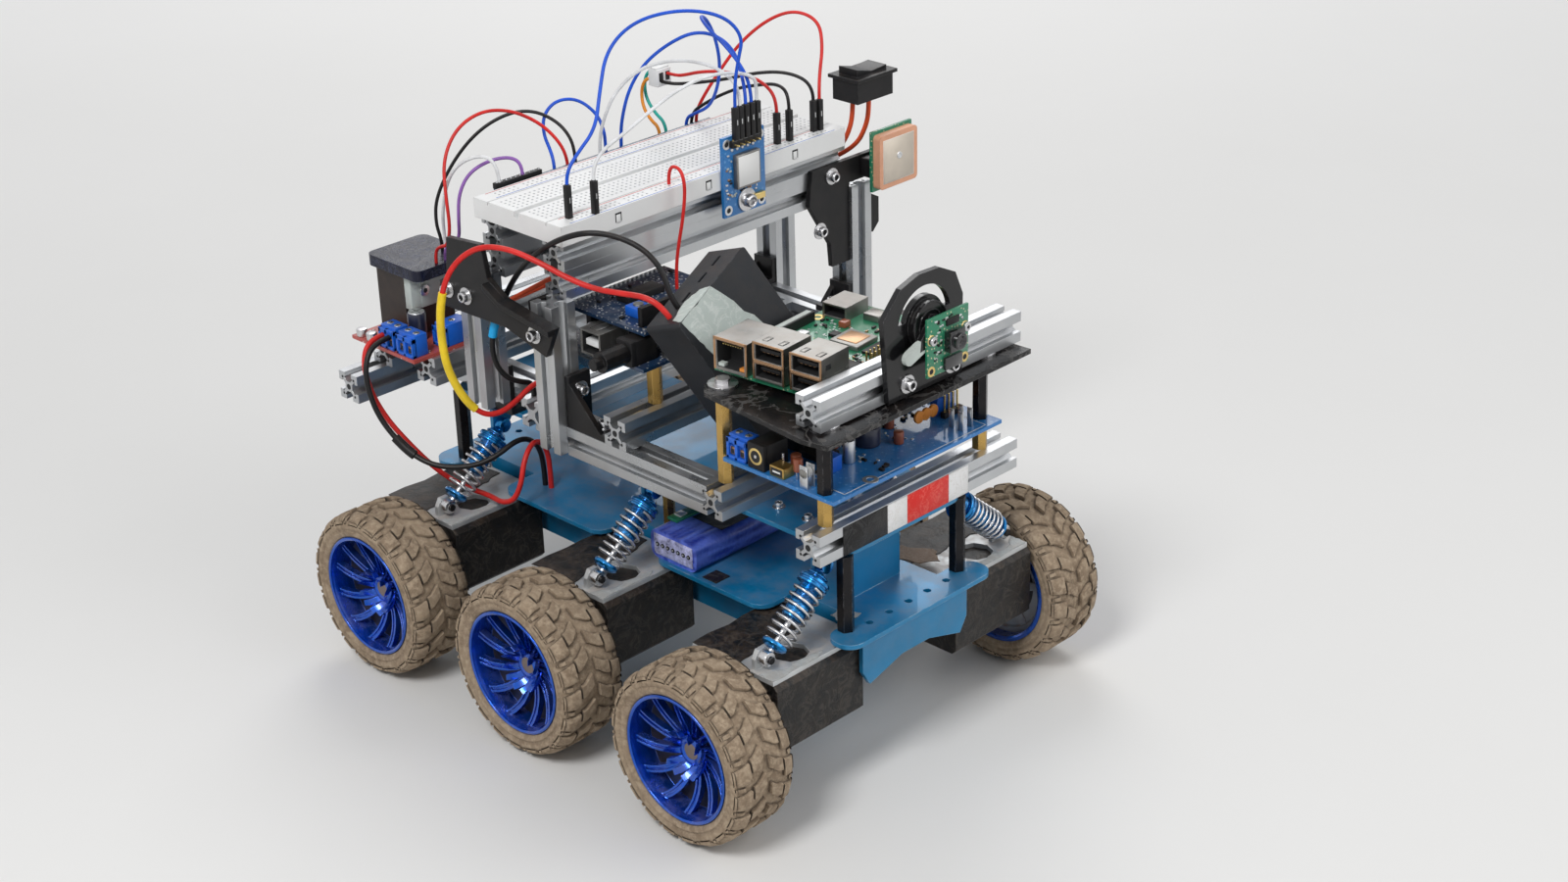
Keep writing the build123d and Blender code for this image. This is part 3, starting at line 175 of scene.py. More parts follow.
def make_dust():
    """Mask of the dust: thick on faces that look up and low on the rover, thin elsewhere."""
    tree, given, out = new_group(
        "dust",
        (("Amount", FLOAT, 0.3), ("Scale", FLOAT, 120.0), ("Top Height", FLOAT, 0.12)),
        (("Mask", FLOAT),),
    )
    flat = add(tree, "ShaderNodeNewGeometry")
    up = add(tree, "ShaderNodeSeparateXYZ", {0: flat.outputs["Normal"]}).outputs[2]
    facing = ramp(tree, up, 0.1, 0.95, 0.25, 1.0)
    place = own_place(tree)
    height = add(tree, "ShaderNodeSeparateXYZ", {0: place}).outputs[2]
    low = ramp(tree, height, given["Top Height"], 0.0, 0.45, 1.0)
    patches = ramp(tree, noise(tree, place, given["Scale"], 7.0, 0.68), 0.36, 0.66)
    mask = math_node(tree, "MULTIPLY", math_node(tree, "MULTIPLY", facing, low), patches)
    tree.links.new(math_node(tree, "MULTIPLY", mask, given["Amount"], clamp=True), out["Mask"])
    return tree


def make_traces():
    """Copper tracks, pads and vias of a circuit board, as two masks and a height."""
    tree, given, out = new_group(
        "board tracks",
        (("Track Scale", FLOAT, 160.0), ("Via Scale", FLOAT, 330.0)),
        (("Tracks", FLOAT), ("Vias", FLOAT), ("Height", FLOAT)),
    )
    place = own_place(tree)
    cells = add(
        tree,
        "ShaderNodeTexVoronoi",
        {"Vector": place, "Scale": given["Track Scale"], "Randomness": 0.9},
        distance="MANHATTAN",
        feature="F1",
    )
    rings = math_node(tree, "FRACT", math_node(tree, "MULTIPLY", cells.outputs["Distance"], 5.0))
    tracks = math_node(tree, "MULTIPLY", ramp(tree, rings, 0.30, 0.36), ramp(tree, rings, 0.62, 0.56))
    grid = {"Vector": place, "Scale": given["Via Scale"], "Randomness": 0.55}
    dots = add(tree, "ShaderNodeTexVoronoi", grid, feature="F1")
    vias = ramp(tree, dots.outputs["Distance"], 0.22, 0.16)
    tree.links.new(tracks, out["Tracks"])
    tree.links.new(vias, out["Vias"])
    tree.links.new(math_node(tree, "ADD", tracks, vias, clamp=True), out["Height"])
    return tree


EDGE_WEAR = make_edge_wear()
GRAIN = make_grain()
DUST = make_dust()
TRACKS = make_traces()
DUST_TAN = colour(0.36, 0.235, 0.145)
FINE_RELIEF = 0.00015
FINISHES = {}


def place_group(tree, group, values):
    """A shader group set in a tree with its own values; gives its outputs."""
    node = tree.nodes.new("ShaderNodeGroup")
    node.node_tree = group
    for key, value in values.items():
        node.inputs[key].default_value = value
    return node.outputs


def start(name):
    """A new finish, kept by its name; gives its tree and its shader with nothing linked."""
    material = bpy.data.materials.new(name)
    FINISHES[name] = material
    material.use_nodes = True
    tree = material.node_tree
    shader = next(node for node in tree.nodes if node.type == "BSDF_PRINCIPLED")
    return tree, shader


def finish(
    name,
    base,
    roughness,
    metallic=0.0,
    tone=0.18,
    tone_scale=45.0,
    fine_scale=900.0,
    bump=0.15,
    edge=0.0004,
    wear=0.0,
    bare=(0.7, 0.7, 0.7),
    dust=0.3,
    dust_scale=120.0,
    dust_top=0.12,
    coat=0.0,
    tracks=None,
    bands=None,
    specular=0.5,
):
    """A finish of this rover: mottled colour, rounded and worn edges, settled dust and fine relief."""
    tree, shader = start(name)
    grain = place_group(tree, GRAIN, {"Tone Scale": tone_scale, "Fine Scale": fine_scale})
    worn = place_group(tree, EDGE_WEAR, {"Width": edge, "Breakup Scale": tone_scale * 6, "Amount": wear})
    dusty = place_group(tree, DUST, {"Amount": dust, "Scale": dust_scale, "Top Height": dust_top})
    dark = colour(*(c * (1 - tone) for c in base))
    light = colour(*(min(1.0, c * (1 + tone)) for c in base))
    paint = mix(tree, grain["Tone"], dark, light)
    height = grain["Height"]
    if bands:
        paint = bands(tree, paint)
    if tracks:
        copper = place_group(tree, TRACKS, {"Track Scale": tracks[0], "Via Scale": tracks[1]})
        paint = mix(tree, math_node(tree, "MULTIPLY", copper["Tracks"], 0.55), paint, colour(*tracks[2]))
        paint = mix(tree, math_node(tree, "MULTIPLY", copper["Vias"], 0.8), paint, colour(*tracks[3]))
        height = math_node(tree, "ADD", height, copper["Height"])
    paint = mix(tree, worn["Mask"], paint, colour(*bare))
    paint = mix(tree, dusty["Mask"], paint, DUST_TAN)
    tree.links.new(paint, shader.inputs["Base Color"])
    rough = ramp(tree, grain["Tone"], 0.0, 1.0, roughness * 0.85, min(1.0, roughness * 1.2))
    rough = math_node(tree, "ADD", rough, math_node(tree, "MULTIPLY", dusty["Mask"], 0.5), clamp=True)
    tree.links.new(rough, shader.inputs["Roughness"])
    clean = math_node(tree, "SUBTRACT", 1.0, dusty["Mask"])
    tree.links.new(math_node(tree, "MULTIPLY", clean, metallic, clamp=True), shader.inputs["Metallic"])
    shader.inputs["Coat Weight"].default_value = coat
    shader.inputs["Specular IOR Level"].default_value = specular
    emboss(tree, shader, bump, FINE_RELIEF, height, worn["Normal"])


# Finishes


def make_tyre_rubber():
    """Rubber under baked-on tan dust, paler on the tread's faces, its cuts darkened by painted shade from
    ambient occlusion.
    """
    tree, shader = start("tyre")
    grain = place_group(tree, GRAIN, {"Tone Scale": 60.0, "Fine Scale": 1400.0, "Contrast": 1.2})
    clods = noise(tree, own_place(tree), 420.0, 8.0, 0.7)
    shade = add(tree, "ShaderNodeAmbientOcclusion", {"Distance": 0.0022}, samples=4).outputs["AO"]
    tan = mix(tree, grain["Tone"], colour(0.20, 0.145, 0.098), colour(0.345, 0.262, 0.182))
    speckled = mix(tree, ramp(tree, clods, 0.40, 0.68), tan, colour(0.42, 0.33, 0.235))
    # Painted shade: the base colour goes near black where ambient occlusion finds the tread's cuts
    dark = mix(tree, ramp(tree, shade, 0.35, 0.92), colour(0.075, 0.06, 0.048), speckled)
    tree.links.new(dark, shader.inputs["Base Color"])
    shader.inputs["Roughness"].default_value = 0.93
    shader.inputs["Specular IOR Level"].default_value = 0.25
    height = math_node(tree, "ADD", grain["Height"], clods)
    emboss(tree, shader, 0.55, 0.0003, height)


def make_shrink_wrap():
    """Blue-violet shrink wrap, crinkled across the cells, with painted highlights: pale streaks along the
    raised crinkles.
    """
    tree, shader = start("wrap")
    place = own_place(tree)
    stretched = add(
        tree, "ShaderNodeVectorMath", {0: place, 1: (1.6, 0.28, 1.6)}, operation="MULTIPLY",
    ).outputs[0]
    creases = {"Vector": stretched, "Scale": 230.0, "Randomness": 0.8}
    crinkle_and_highlight = add(tree, "ShaderNodeTexVoronoi", creases, feature="SMOOTH_F1")
    fine = noise(tree, place, 700.0, 5.0)
    tone = math_node(tree, "ADD", crinkle_and_highlight.outputs["Distance"], math_node(tree, "MULTIPLY", fine, 0.4))
    # Painted highlight: the colour turns pale blue on the raised crinkles, as if light caught their crests
    paint = mix(tree, ramp(tree, tone, 0.25, 0.95), colour(0.010, 0.028, 0.30), colour(0.12, 0.19, 0.70))
    dusty = place_group(tree, DUST, {"Amount": 0.1, "Scale": 200.0})
    tree.links.new(mix(tree, dusty["Mask"], paint, DUST_TAN), shader.inputs["Base Color"])
    shader.inputs["Roughness"].default_value = 0.28
    shader.inputs["Coat Weight"].default_value = 0.5
    emboss(tree, shader, 0.8, 0.0006, tone)


def make_tape(name, base, scuff, roughness, amount=0.5, wrinkle=170.0, dust=0.3):
    """Adhesive tape: wrinkled, rubbed pale where it bends, with dust stuck to it."""
    tree, shader = start(name)
    place = own_place(tree)
    folds = noise(tree, place, wrinkle, 6.0, 0.62, 0.9)
    creases = ramp(tree, math_node(tree, "ABSOLUTE", math_node(tree, "SUBTRACT", folds, 0.5)), 0.035, 0.0)
    rub = noise(tree, place, wrinkle * 4, 8.0, 0.75)
    rubbed = math_node(tree, "MULTIPLY", ramp(tree, rub, 0.52, 0.76), amount)
    shader.inputs["Specular IOR Level"].default_value = 0.3
    worn = place_group(tree, EDGE_WEAR, {"Width": 0.0006, "Breakup Scale": 260.0, "Amount": 0.6})
    dusty = place_group(tree, DUST, {"Amount": dust, "Scale": 150.0})
    scuffs = math_node(tree, "ADD", rubbed, math_node(tree, "MULTIPLY", creases, 0.45), clamp=True)
    scuffs = math_node(tree, "ADD", scuffs, worn["Mask"], clamp=True)
    paint = mix(tree, scuffs, colour(*base), colour(*scuff))
    tree.links.new(mix(tree, dusty["Mask"], paint, DUST_TAN), shader.inputs["Base Color"])
    tree.links.new(ramp(tree, scuffs, 0.0, 1.0, roughness, 0.85), shader.inputs["Roughness"])
    height = math_node(tree, "ADD", folds, math_node(tree, "MULTIPLY", rub, 0.25))
    emboss(tree, shader, 0.6, 0.0009, height, worn["Normal"])


def wire_cover(name, base, dust=0.2):
    """Soft wire insulation with a faint sheen and grime along it."""
    finish(
        name, base, 0.38, tone=0.22, tone_scale=90.0, fine_scale=1500.0, bump=0.1, edge=0.0001, dust=dust,
        dust_scale=300.0, specular=0.3,
    )


def thread_groove_shade(tree, paint):
    """Dark fine rings of painted shade for the thread's grooves round a turned damper body, by height along
    its slope.
    """
    place = own_place(tree)
    height = add(tree, "ShaderNodeSeparateXYZ", {0: place}).outputs[2]
    turns = math_node(tree, "SINE", math_node(tree, "MULTIPLY", height, 6800.0))
    # Painted shade: near-black rings stand for the shade in the thread's grooves
    return mix(tree, ramp(tree, turns, 0.1, 0.95, 0.0, 0.55), paint, colour(0.0, 0.02, 0.06))


finish(
    "sheet", (0.001, 0.2, 0.42), 0.36, metallic=0.35, tone=0.22, tone_scale=22.0, fine_scale=1600.0,
    bump=0.06, edge=0.0005, wear=0.55, bare=(0.55, 0.7, 0.76), dust=0.34, dust_scale=75.0, coat=0.25,
)
finish(
    "bar", (0.5, 0.515, 0.53), 0.3, metallic=0.9, tone=0.14, tone_scale=30.0, fine_scale=1400.0, bump=0.07,
    edge=0.00025, wear=0.3, bare=(0.88, 0.89, 0.9), dust=0.22,
)
finish(
    "moulded black", (0.01, 0.01, 0.011), 0.36, tone=0.35, tone_scale=60.0, fine_scale=2200.0, bump=0.28,
    edge=0.0006, wear=0.35, bare=(0.12, 0.12, 0.125), dust=0.08, specular=0.25,
)
finish(
    "gloss black", (0.006, 0.006, 0.007), 0.18, tone=0.3, bump=0.05, edge=0.0005, wear=0.3,
    bare=(0.14, 0.14, 0.15), dust=0.05, coat=0.2, specular=0.3,
)
finish(
    "black anodised", (0.012, 0.012, 0.014), 0.26, metallic=0.7, wear=0.4, bare=(0.4, 0.4, 0.42), dust=0.15,
)
finish(
    "damper", (0.0, 0.2, 0.52), 0.2, metallic=0.85, tone=0.2, wear=0.35, bare=(0.45, 0.62, 0.8), dust=0.2,
    coat=0.3, bands=thread_groove_shade,
)
finish(
    "damper cup", (0.0, 0.21, 0.54), 0.18, metallic=0.85, wear=0.35, bare=(0.45, 0.62, 0.8), dust=0.2,
    coat=0.3,
)
finish(
    "steel", (0.6, 0.6, 0.61), 0.25, metallic=1.0, tone=0.2, tone_scale=120.0, edge=0.0003, wear=0.3,
    bare=(0.8, 0.8, 0.8), dust=0.24,
)
finish("dull bolt", (0.24, 0.19, 0.16), 0.4, metallic=0.85, tone=0.3, edge=0.0003, dust=0.35)
finish(
    "arm", (0.55, 0.57, 0.58), 0.45, metallic=0.6, tone=0.25, tone_scale=60.0, wear=0.4,
    bare=(0.75, 0.76, 0.77), dust=0.55,
)
finish(
    "brass", (0.52, 0.33, 0.1), 0.27, metallic=0.95, tone=0.2, tone_scale=90.0, edge=0.0003, wear=0.3,
    bare=(0.85, 0.7, 0.4), dust=0.2,
)
finish(
    "rim", (0.002, 0.085, 0.5), 0.2, metallic=0.85, tone=0.22, tone_scale=70.0, wear=0.25,
    bare=(0.3, 0.4, 0.75), dust=0.3, dust_top=0.08, coat=0.5,
)
# Painted shade: the near-black discs inside the rim stand for the shadow within the wheel
finish("painted rim shade", (0.006, 0.008, 0.016), 0.5, tone=0.3, dust=0.35, dust_top=0.08)
finish(
    "rim back", (0.3, 0.33, 0.38), 0.45, tone=0.25, edge=0.0005, wear=0.3, bare=(0.5, 0.53, 0.58),
    dust=0.75, dust_top=0.08,
)
make_tyre_rubber()
finish(
    "blue board", (0.006, 0.16, 0.46), 0.3, tone=0.15, edge=0.0002, wear=0.3, bare=(0.5, 0.48, 0.35),
    dust=0.18, coat=0.35, tracks=(150.0, 330.0, (0.012, 0.2, 0.54), (0.1, 0.3, 0.6)),
)
finish(
    "green board", (0.008, 0.17, 0.085), 0.3, tone=0.18, edge=0.0002, wear=0.35, bare=(0.55, 0.5, 0.3),
    dust=0.16, coat=0.4, tracks=(260.0, 520.0, (0.03, 0.3, 0.15), (0.66, 0.6, 0.38)),
)
finish(
    "red board", (0.42, 0.055, 0.045), 0.35, tone=0.2, edge=0.0002, dust=0.25, coat=0.25,
    tracks=(190.0, 400.0, (0.55, 0.14, 0.11), (0.75, 0.72, 0.68)),
)
finish(
    "dark board", (0.006, 0.028, 0.075), 0.32, tone=0.2, edge=0.0002, dust=0.2, coat=0.35,
    tracks=(190.0, 420.0, (0.012, 0.06, 0.14), (0.6, 0.6, 0.58)),
)
finish("chip", (0.012, 0.012, 0.013), 0.42, tone=0.25, edge=0.00015, dust=0.08, specular=0.25)
finish(
    "socket metal", (0.27, 0.263, 0.248), 0.38, metallic=0.92, tone=0.22, tone_scale=110.0, edge=0.0003,
    wear=0.4, bare=(0.85, 0.84, 0.82), dust=0.2,
)
finish(
    "blue plastic", (0.004, 0.12, 0.62), 0.36, tone=0.16, edge=0.0003, wear=0.3, bare=(0.3, 0.45, 0.85),
    dust=0.16,
)
finish(
    "white plastic", (0.78, 0.785, 0.78), 0.5, tone=0.06, tone_scale=18.0, bump=0.08, wear=0.15,
    bare=(0.9, 0.9, 0.9), dust=0.1, dust_scale=60.0,
)
finish(
    "ceramic", (0.72, 0.36, 0.22), 0.5, tone=0.12, tone_scale=90.0, edge=0.0006, wear=0.3,
    bare=(0.85, 0.65, 0.5), dust=0.1,
)
finish("patch", (0.62, 0.55, 0.46), 0.42, metallic=0.25, tone=0.1, tone_scale=70.0, dust=0.12)
finish(
    "case", (0.02, 0.022, 0.026), 0.42, tone=0.22, tone_scale=50.0, fine_scale=2000.0, bump=0.3,
    edge=0.0007, wear=0.4, bare=(0.16, 0.17, 0.19), dust=0.12, specular=0.25,
)
make_shrink_wrap()
finish("wrap end", (0.36, 0.37, 0.66), 0.3, tone=0.75, tone_scale=420.0, dust=0.1)
finish(
    "sink", (0.03, 0.022, 0.02), 0.4, metallic=0.5, tone=0.35, wear=0.5, bare=(0.3, 0.27, 0.25), dust=0.3,
)
finish("pale tab", (0.5, 0.55, 0.52), 0.5, tone=0.15)
finish("lens", (0.006, 0.006, 0.008), 0.12, tone=0.2, edge=0.0002, dust=0.05, coat=0.8)
wire_cover("black wire", (0.004, 0.004, 0.005), 0.1)

# name, colour, roughness, how metallic, contrast, dust, clear coat
for name, base, rough, metallic, tone, dust, coat in (
    ("copper", (0.42, 0.25, 0.14), 0.3, 0.9, 0.2, 0.1, 0.0),
    ("gold", (0.75, 0.56, 0.22), 0.28, 0.95, 0.2, 0.1, 0.0),
    ("solder", (0.66, 0.67, 0.68), 0.32, 0.9, 0.25, 0.15, 0.0),
    # Painted shade: this near-black finish stands in for the shade inside holes, slots, windows and sockets
    ("painted hole shade", (0.012, 0.012, 0.013), 0.7, 0.0, 0.3, 0.0, 0.0),
    # Painted shade: flat grey squares that stand for the breadboard's contact holes
    ("painted contact hole shade", (0.36, 0.37, 0.38), 0.7, 0.0, 0.3, 0.0, 0.0),
    ("line blue", (0.05, 0.16, 0.55), 0.5, 0.0, 0.1, 0.1, 0.0),
    ("line red", (0.62, 0.07, 0.06), 0.5, 0.0, 0.1, 0.1, 0.0),
    ("patch line", (0.8, 0.74, 0.66), 0.45, 0.0, 0.08, 0.05, 0.0),
    ("capacitor", (0.02, 0.024, 0.05), 0.3, 0.0, 0.25, 0.15, 0.3),
    ("rust capacitor", (0.28, 0.07, 0.03), 0.35, 0.0, 0.2, 0.12, 0.3),
    ("orange disc", (0.75, 0.26, 0.03), 0.35, 0.0, 0.12, 0.1, 0.3),
    ("label", (0.8, 0.8, 0.79), 0.5, 0.0, 0.05, 0.1, 0.0),
):
    finish(name, base, rough, metallic, tone, dust=dust, coat=coat)

# name, colour, colour of the scuffs, roughness, amount of scuffs, size of the wrinkles, dust
for row in (
    ("deck tape", (0.004, 0.004, 0.005), (0.15, 0.145, 0.14), 0.26, 0.12, 45.0, 0.05),
    ("motor wrap", (0.006, 0.006, 0.006), (0.085, 0.075, 0.066), 0.42, 0.3, 120.0, 0.14),
    ("silver tape", (0.38, 0.4, 0.4), (0.56, 0.57, 0.56), 0.42, 0.5, 200.0),
    ("paper tape", (0.5, 0.56, 0.53), (0.74, 0.77, 0.74), 0.8, 0.8, 90.0, 0.12),
    ("brown tape", (0.2, 0.12, 0.07), (0.42, 0.34, 0.27), 0.5, 0.5, 240.0),
    ("film", (0.004, 0.006, 0.022), (0.05, 0.06, 0.11), 0.1, 0.14, 90.0, 0.08),
    ("red tape", (0.68, 0.02, 0.015), (0.8, 0.2, 0.15), 0.35, 0.2),
    ("white tape", (0.8, 0.8, 0.8), (0.62, 0.6, 0.56), 0.4, 0.3),
    ("band tape", (0.004, 0.004, 0.005), (0.06, 0.06, 0.06), 0.34, 0.2, 120.0, 0.08),
):
    make_tape(*row)

for name, base in (
    ("red wire", (0.62, 0.018, 0.016)), ("blue wire", (0.008, 0.085, 0.58)),
    ("white wire", (0.74, 0.75, 0.76)), ("purple wire", (0.27, 0.12, 0.42)),
    ("teal wire", (0.01, 0.36, 0.3)), ("orange wire", (0.72, 0.25, 0.02)),
    ("switch wire", (0.72, 0.085, 0.025)), ("yellow sleeve", (0.78, 0.55, 0.02)),
    ("sky sleeve", (0.01, 0.38, 0.78)),
):
    wire_cover(name, base)

NODES_OF_FINISH = {
    "sheet": ("lower_hull", "top_plate"), "black anodised": ("black_pillars",), "damper": ("shock_bodies",),
    "steel": ("shock_rods", "shock_springs", "deck_washers"), "arm": ("suspension_arms",),
    "motor wrap": ("motor_covers",), "dull bolt": ("axle_shafts",),
    "bar": (
        "plate_bars_across", "plate_bars_along", "raised_bars", "camera_bar", "posts", "lower_rails",
        "upper_rails",
    ),
    "moulded black": ("strap_bracket", "corner_brackets", "power_plug", "rocker_switch", "wire_housings"),
    "deck tape": ("deck_plate",), "brass": ("brass_standoffs",),
    "blue board": ("control_board", "satellite_module"), "chip": ("control_parts", "controller_parts"),
    "green board": ("computer_board", "antenna_board", "camera_module"),
    "socket metal": ("computer_ports", "satellite_can"), "dark board": ("controller_boards",),
    "white plastic": ("breadboard",), "ceramic": ("antenna_patch",), "case": ("tilted_case",),
    "wrap": ("battery_pack",), "red board": ("motor_driver",), "blue plastic": ("driver_parts",),
    "sink": ("heat_sink",), "film": ("sink_lid",), "gloss black": ("camera_bracket",),
}


def dress_nodes():
    """Gives each kept CAD node its finish."""
    for finish_name, nodes in NODES_OF_FINISH.items():
        for node in nodes:
            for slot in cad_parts[node].material_slots:
                slot.material = FINISHES[finish_name]


# Camera, light and floor


def make_view():
    """The photograph's viewing angle, and plain soft studio light over a pale floor."""
    lens = bpy.data.cameras.new("photo camera")
    lens.sensor_width = 36.0
    lens.lens = 56.655
    lens.shift_x = -0.01625
    lens.shift_y = 0.0025
    lens.clip_start = 0.01
    lens.clip_end = 60.0
    camera = bpy.data.objects.new("photo camera", lens)
    camera.location = at(688.5, -638.2, 549.1)
    camera.rotation_euler = tuple(math.radians(turn) for turn in (64.381, 1.1145, 43.7435))
    bpy.context.scene.collection.objects.link(camera)
    bpy.context.scene.camera = camera

    middle = at(0, 0, 100)
    for name, side, height, size, watts in (
        ("key", (0.35, -1.05), 1.25, 0.55, 15.0),
        ("fill", (1.2, 0.5), 0.8, 1.2, 7.0),
        ("rim light", (-0.9, 0.9), 1.1, 1.0, 8.0),
    ):
        lamp = bpy.data.lights.new(name, "AREA")
        lamp.shape = "DISK"
        lamp.size = size
        lamp.energy = watts
        body = bpy.data.objects.new(name, lamp)
        body.location = middle + Vector((side[0], side[1], height))
        body.rotation_euler = (middle - body.location).to_track_quat("-Z", "Y").to_euler()
        bpy.context.scene.collection.objects.link(body)

    world = bpy.data.worlds.new("studio")
    bpy.context.scene.world = world
    world.use_nodes = True
    tree = world.node_tree
    back = next(node for node in tree.nodes if node.type == "BACKGROUND")
    path = add(tree, "ShaderNodeLightPath")
    seen = math_node(tree, "MAXIMUM", path.outputs["Is Camera Ray"], path.outputs["Is Transmission Ray"])
    shiny = math_node(tree, "MULTIPLY", path.outputs["Is Glossy Ray"], 0.75)
    strength = ramp(tree, math_node(tree, "MAXIMUM", seen, shiny), 0.0, 1.0, 0.36, 0.95)
    tree.links.new(strength, back.inputs["Strength"])
    back.inputs["Color"].default_value = colour(0.97, 0.98, 1.0)

    tree, shader = start("pale floor")
    grain = place_group(tree, GRAIN, {"Tone Scale": 3.0, "Fine Scale": 60.0, "Contrast": 0.4})
    pale = mix(tree, grain["Tone"], colour(0.74, 0.735, 0.72), colour(0.79, 0.785, 0.775))
    tree.links.new(pale, shader.inputs["Base Color"])
    shader.inputs["Roughness"].default_value = 0.85
    place = own_place(tree)
    away = add(tree, "ShaderNodeVectorMath", {0: place}, operation="LENGTH").outputs["Value"]
    seen = add(tree, "ShaderNodeLightPath").outputs["Is Camera Ray"]
    # Past the lamps' reach the floor stays as pale as it is near them
    lift = math_node(tree, "MULTIPLY", ramp(tree, away, 0.35, 2.4, 0.0, 0.42), seen)
    shader.inputs["Emission Color"].default_value = colour(0.97, 0.975, 0.98)
    tree.links.new(lift, shader.inputs["Emission Strength"])
    mesh = bpy.data.meshes.new("floor")
    shape = bmesh.new()
    bmesh.ops.create_grid(shape, x_segments=1, y_segments=1, size=12.0)
    bmesh.ops.translate(shape, verts=shape.verts, vec=(0, 0, -0.0002))
    shape.to_mesh(mesh)
    shape.free()
    mesh.materials.append(FINISHES["pale floor"])
    floor = bpy.data.objects.new("floor", mesh)
    bpy.context.scene.collection.objects.link(floor)
    bpy.context.scene.view_settings.view_transform = "Standard"


# Wires


def wire(name, diameter, finish_name, node, points):
    """A free wire on one smooth curve through the route that the CAD gives, in chassis millimetres."""
    line = bpy.data.curves.new(name, "CURVE")
    line.dimensions = "3D"
    line.bevel_depth = diameter * MM / 2
    line.bevel_resolution = 3
    line.resolution_u = 10
    line.use_fill_caps = True
    spline = line.splines.new("NURBS")
    spline.points.add(len(points) - 1)
    for control, point in zip(spline.points, points):
        control.co = (*at(*point), 1.0)
    spline.order_u = 3
    spline.use_endpoint_u = True
    line.materials.append(FINISHES[finish_name])
    body = bpy.data.objects.new(name, line)
    bpy.context.scene.collection.objects.link(body)
    bpy.context.view_layer.update()
    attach(body, "chassis")
    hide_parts(node)
    make_sleeves(body, name)


JUMPER, SWITCH_LEAD, POWER_LEAD = 1.5, 2.2, 2.4

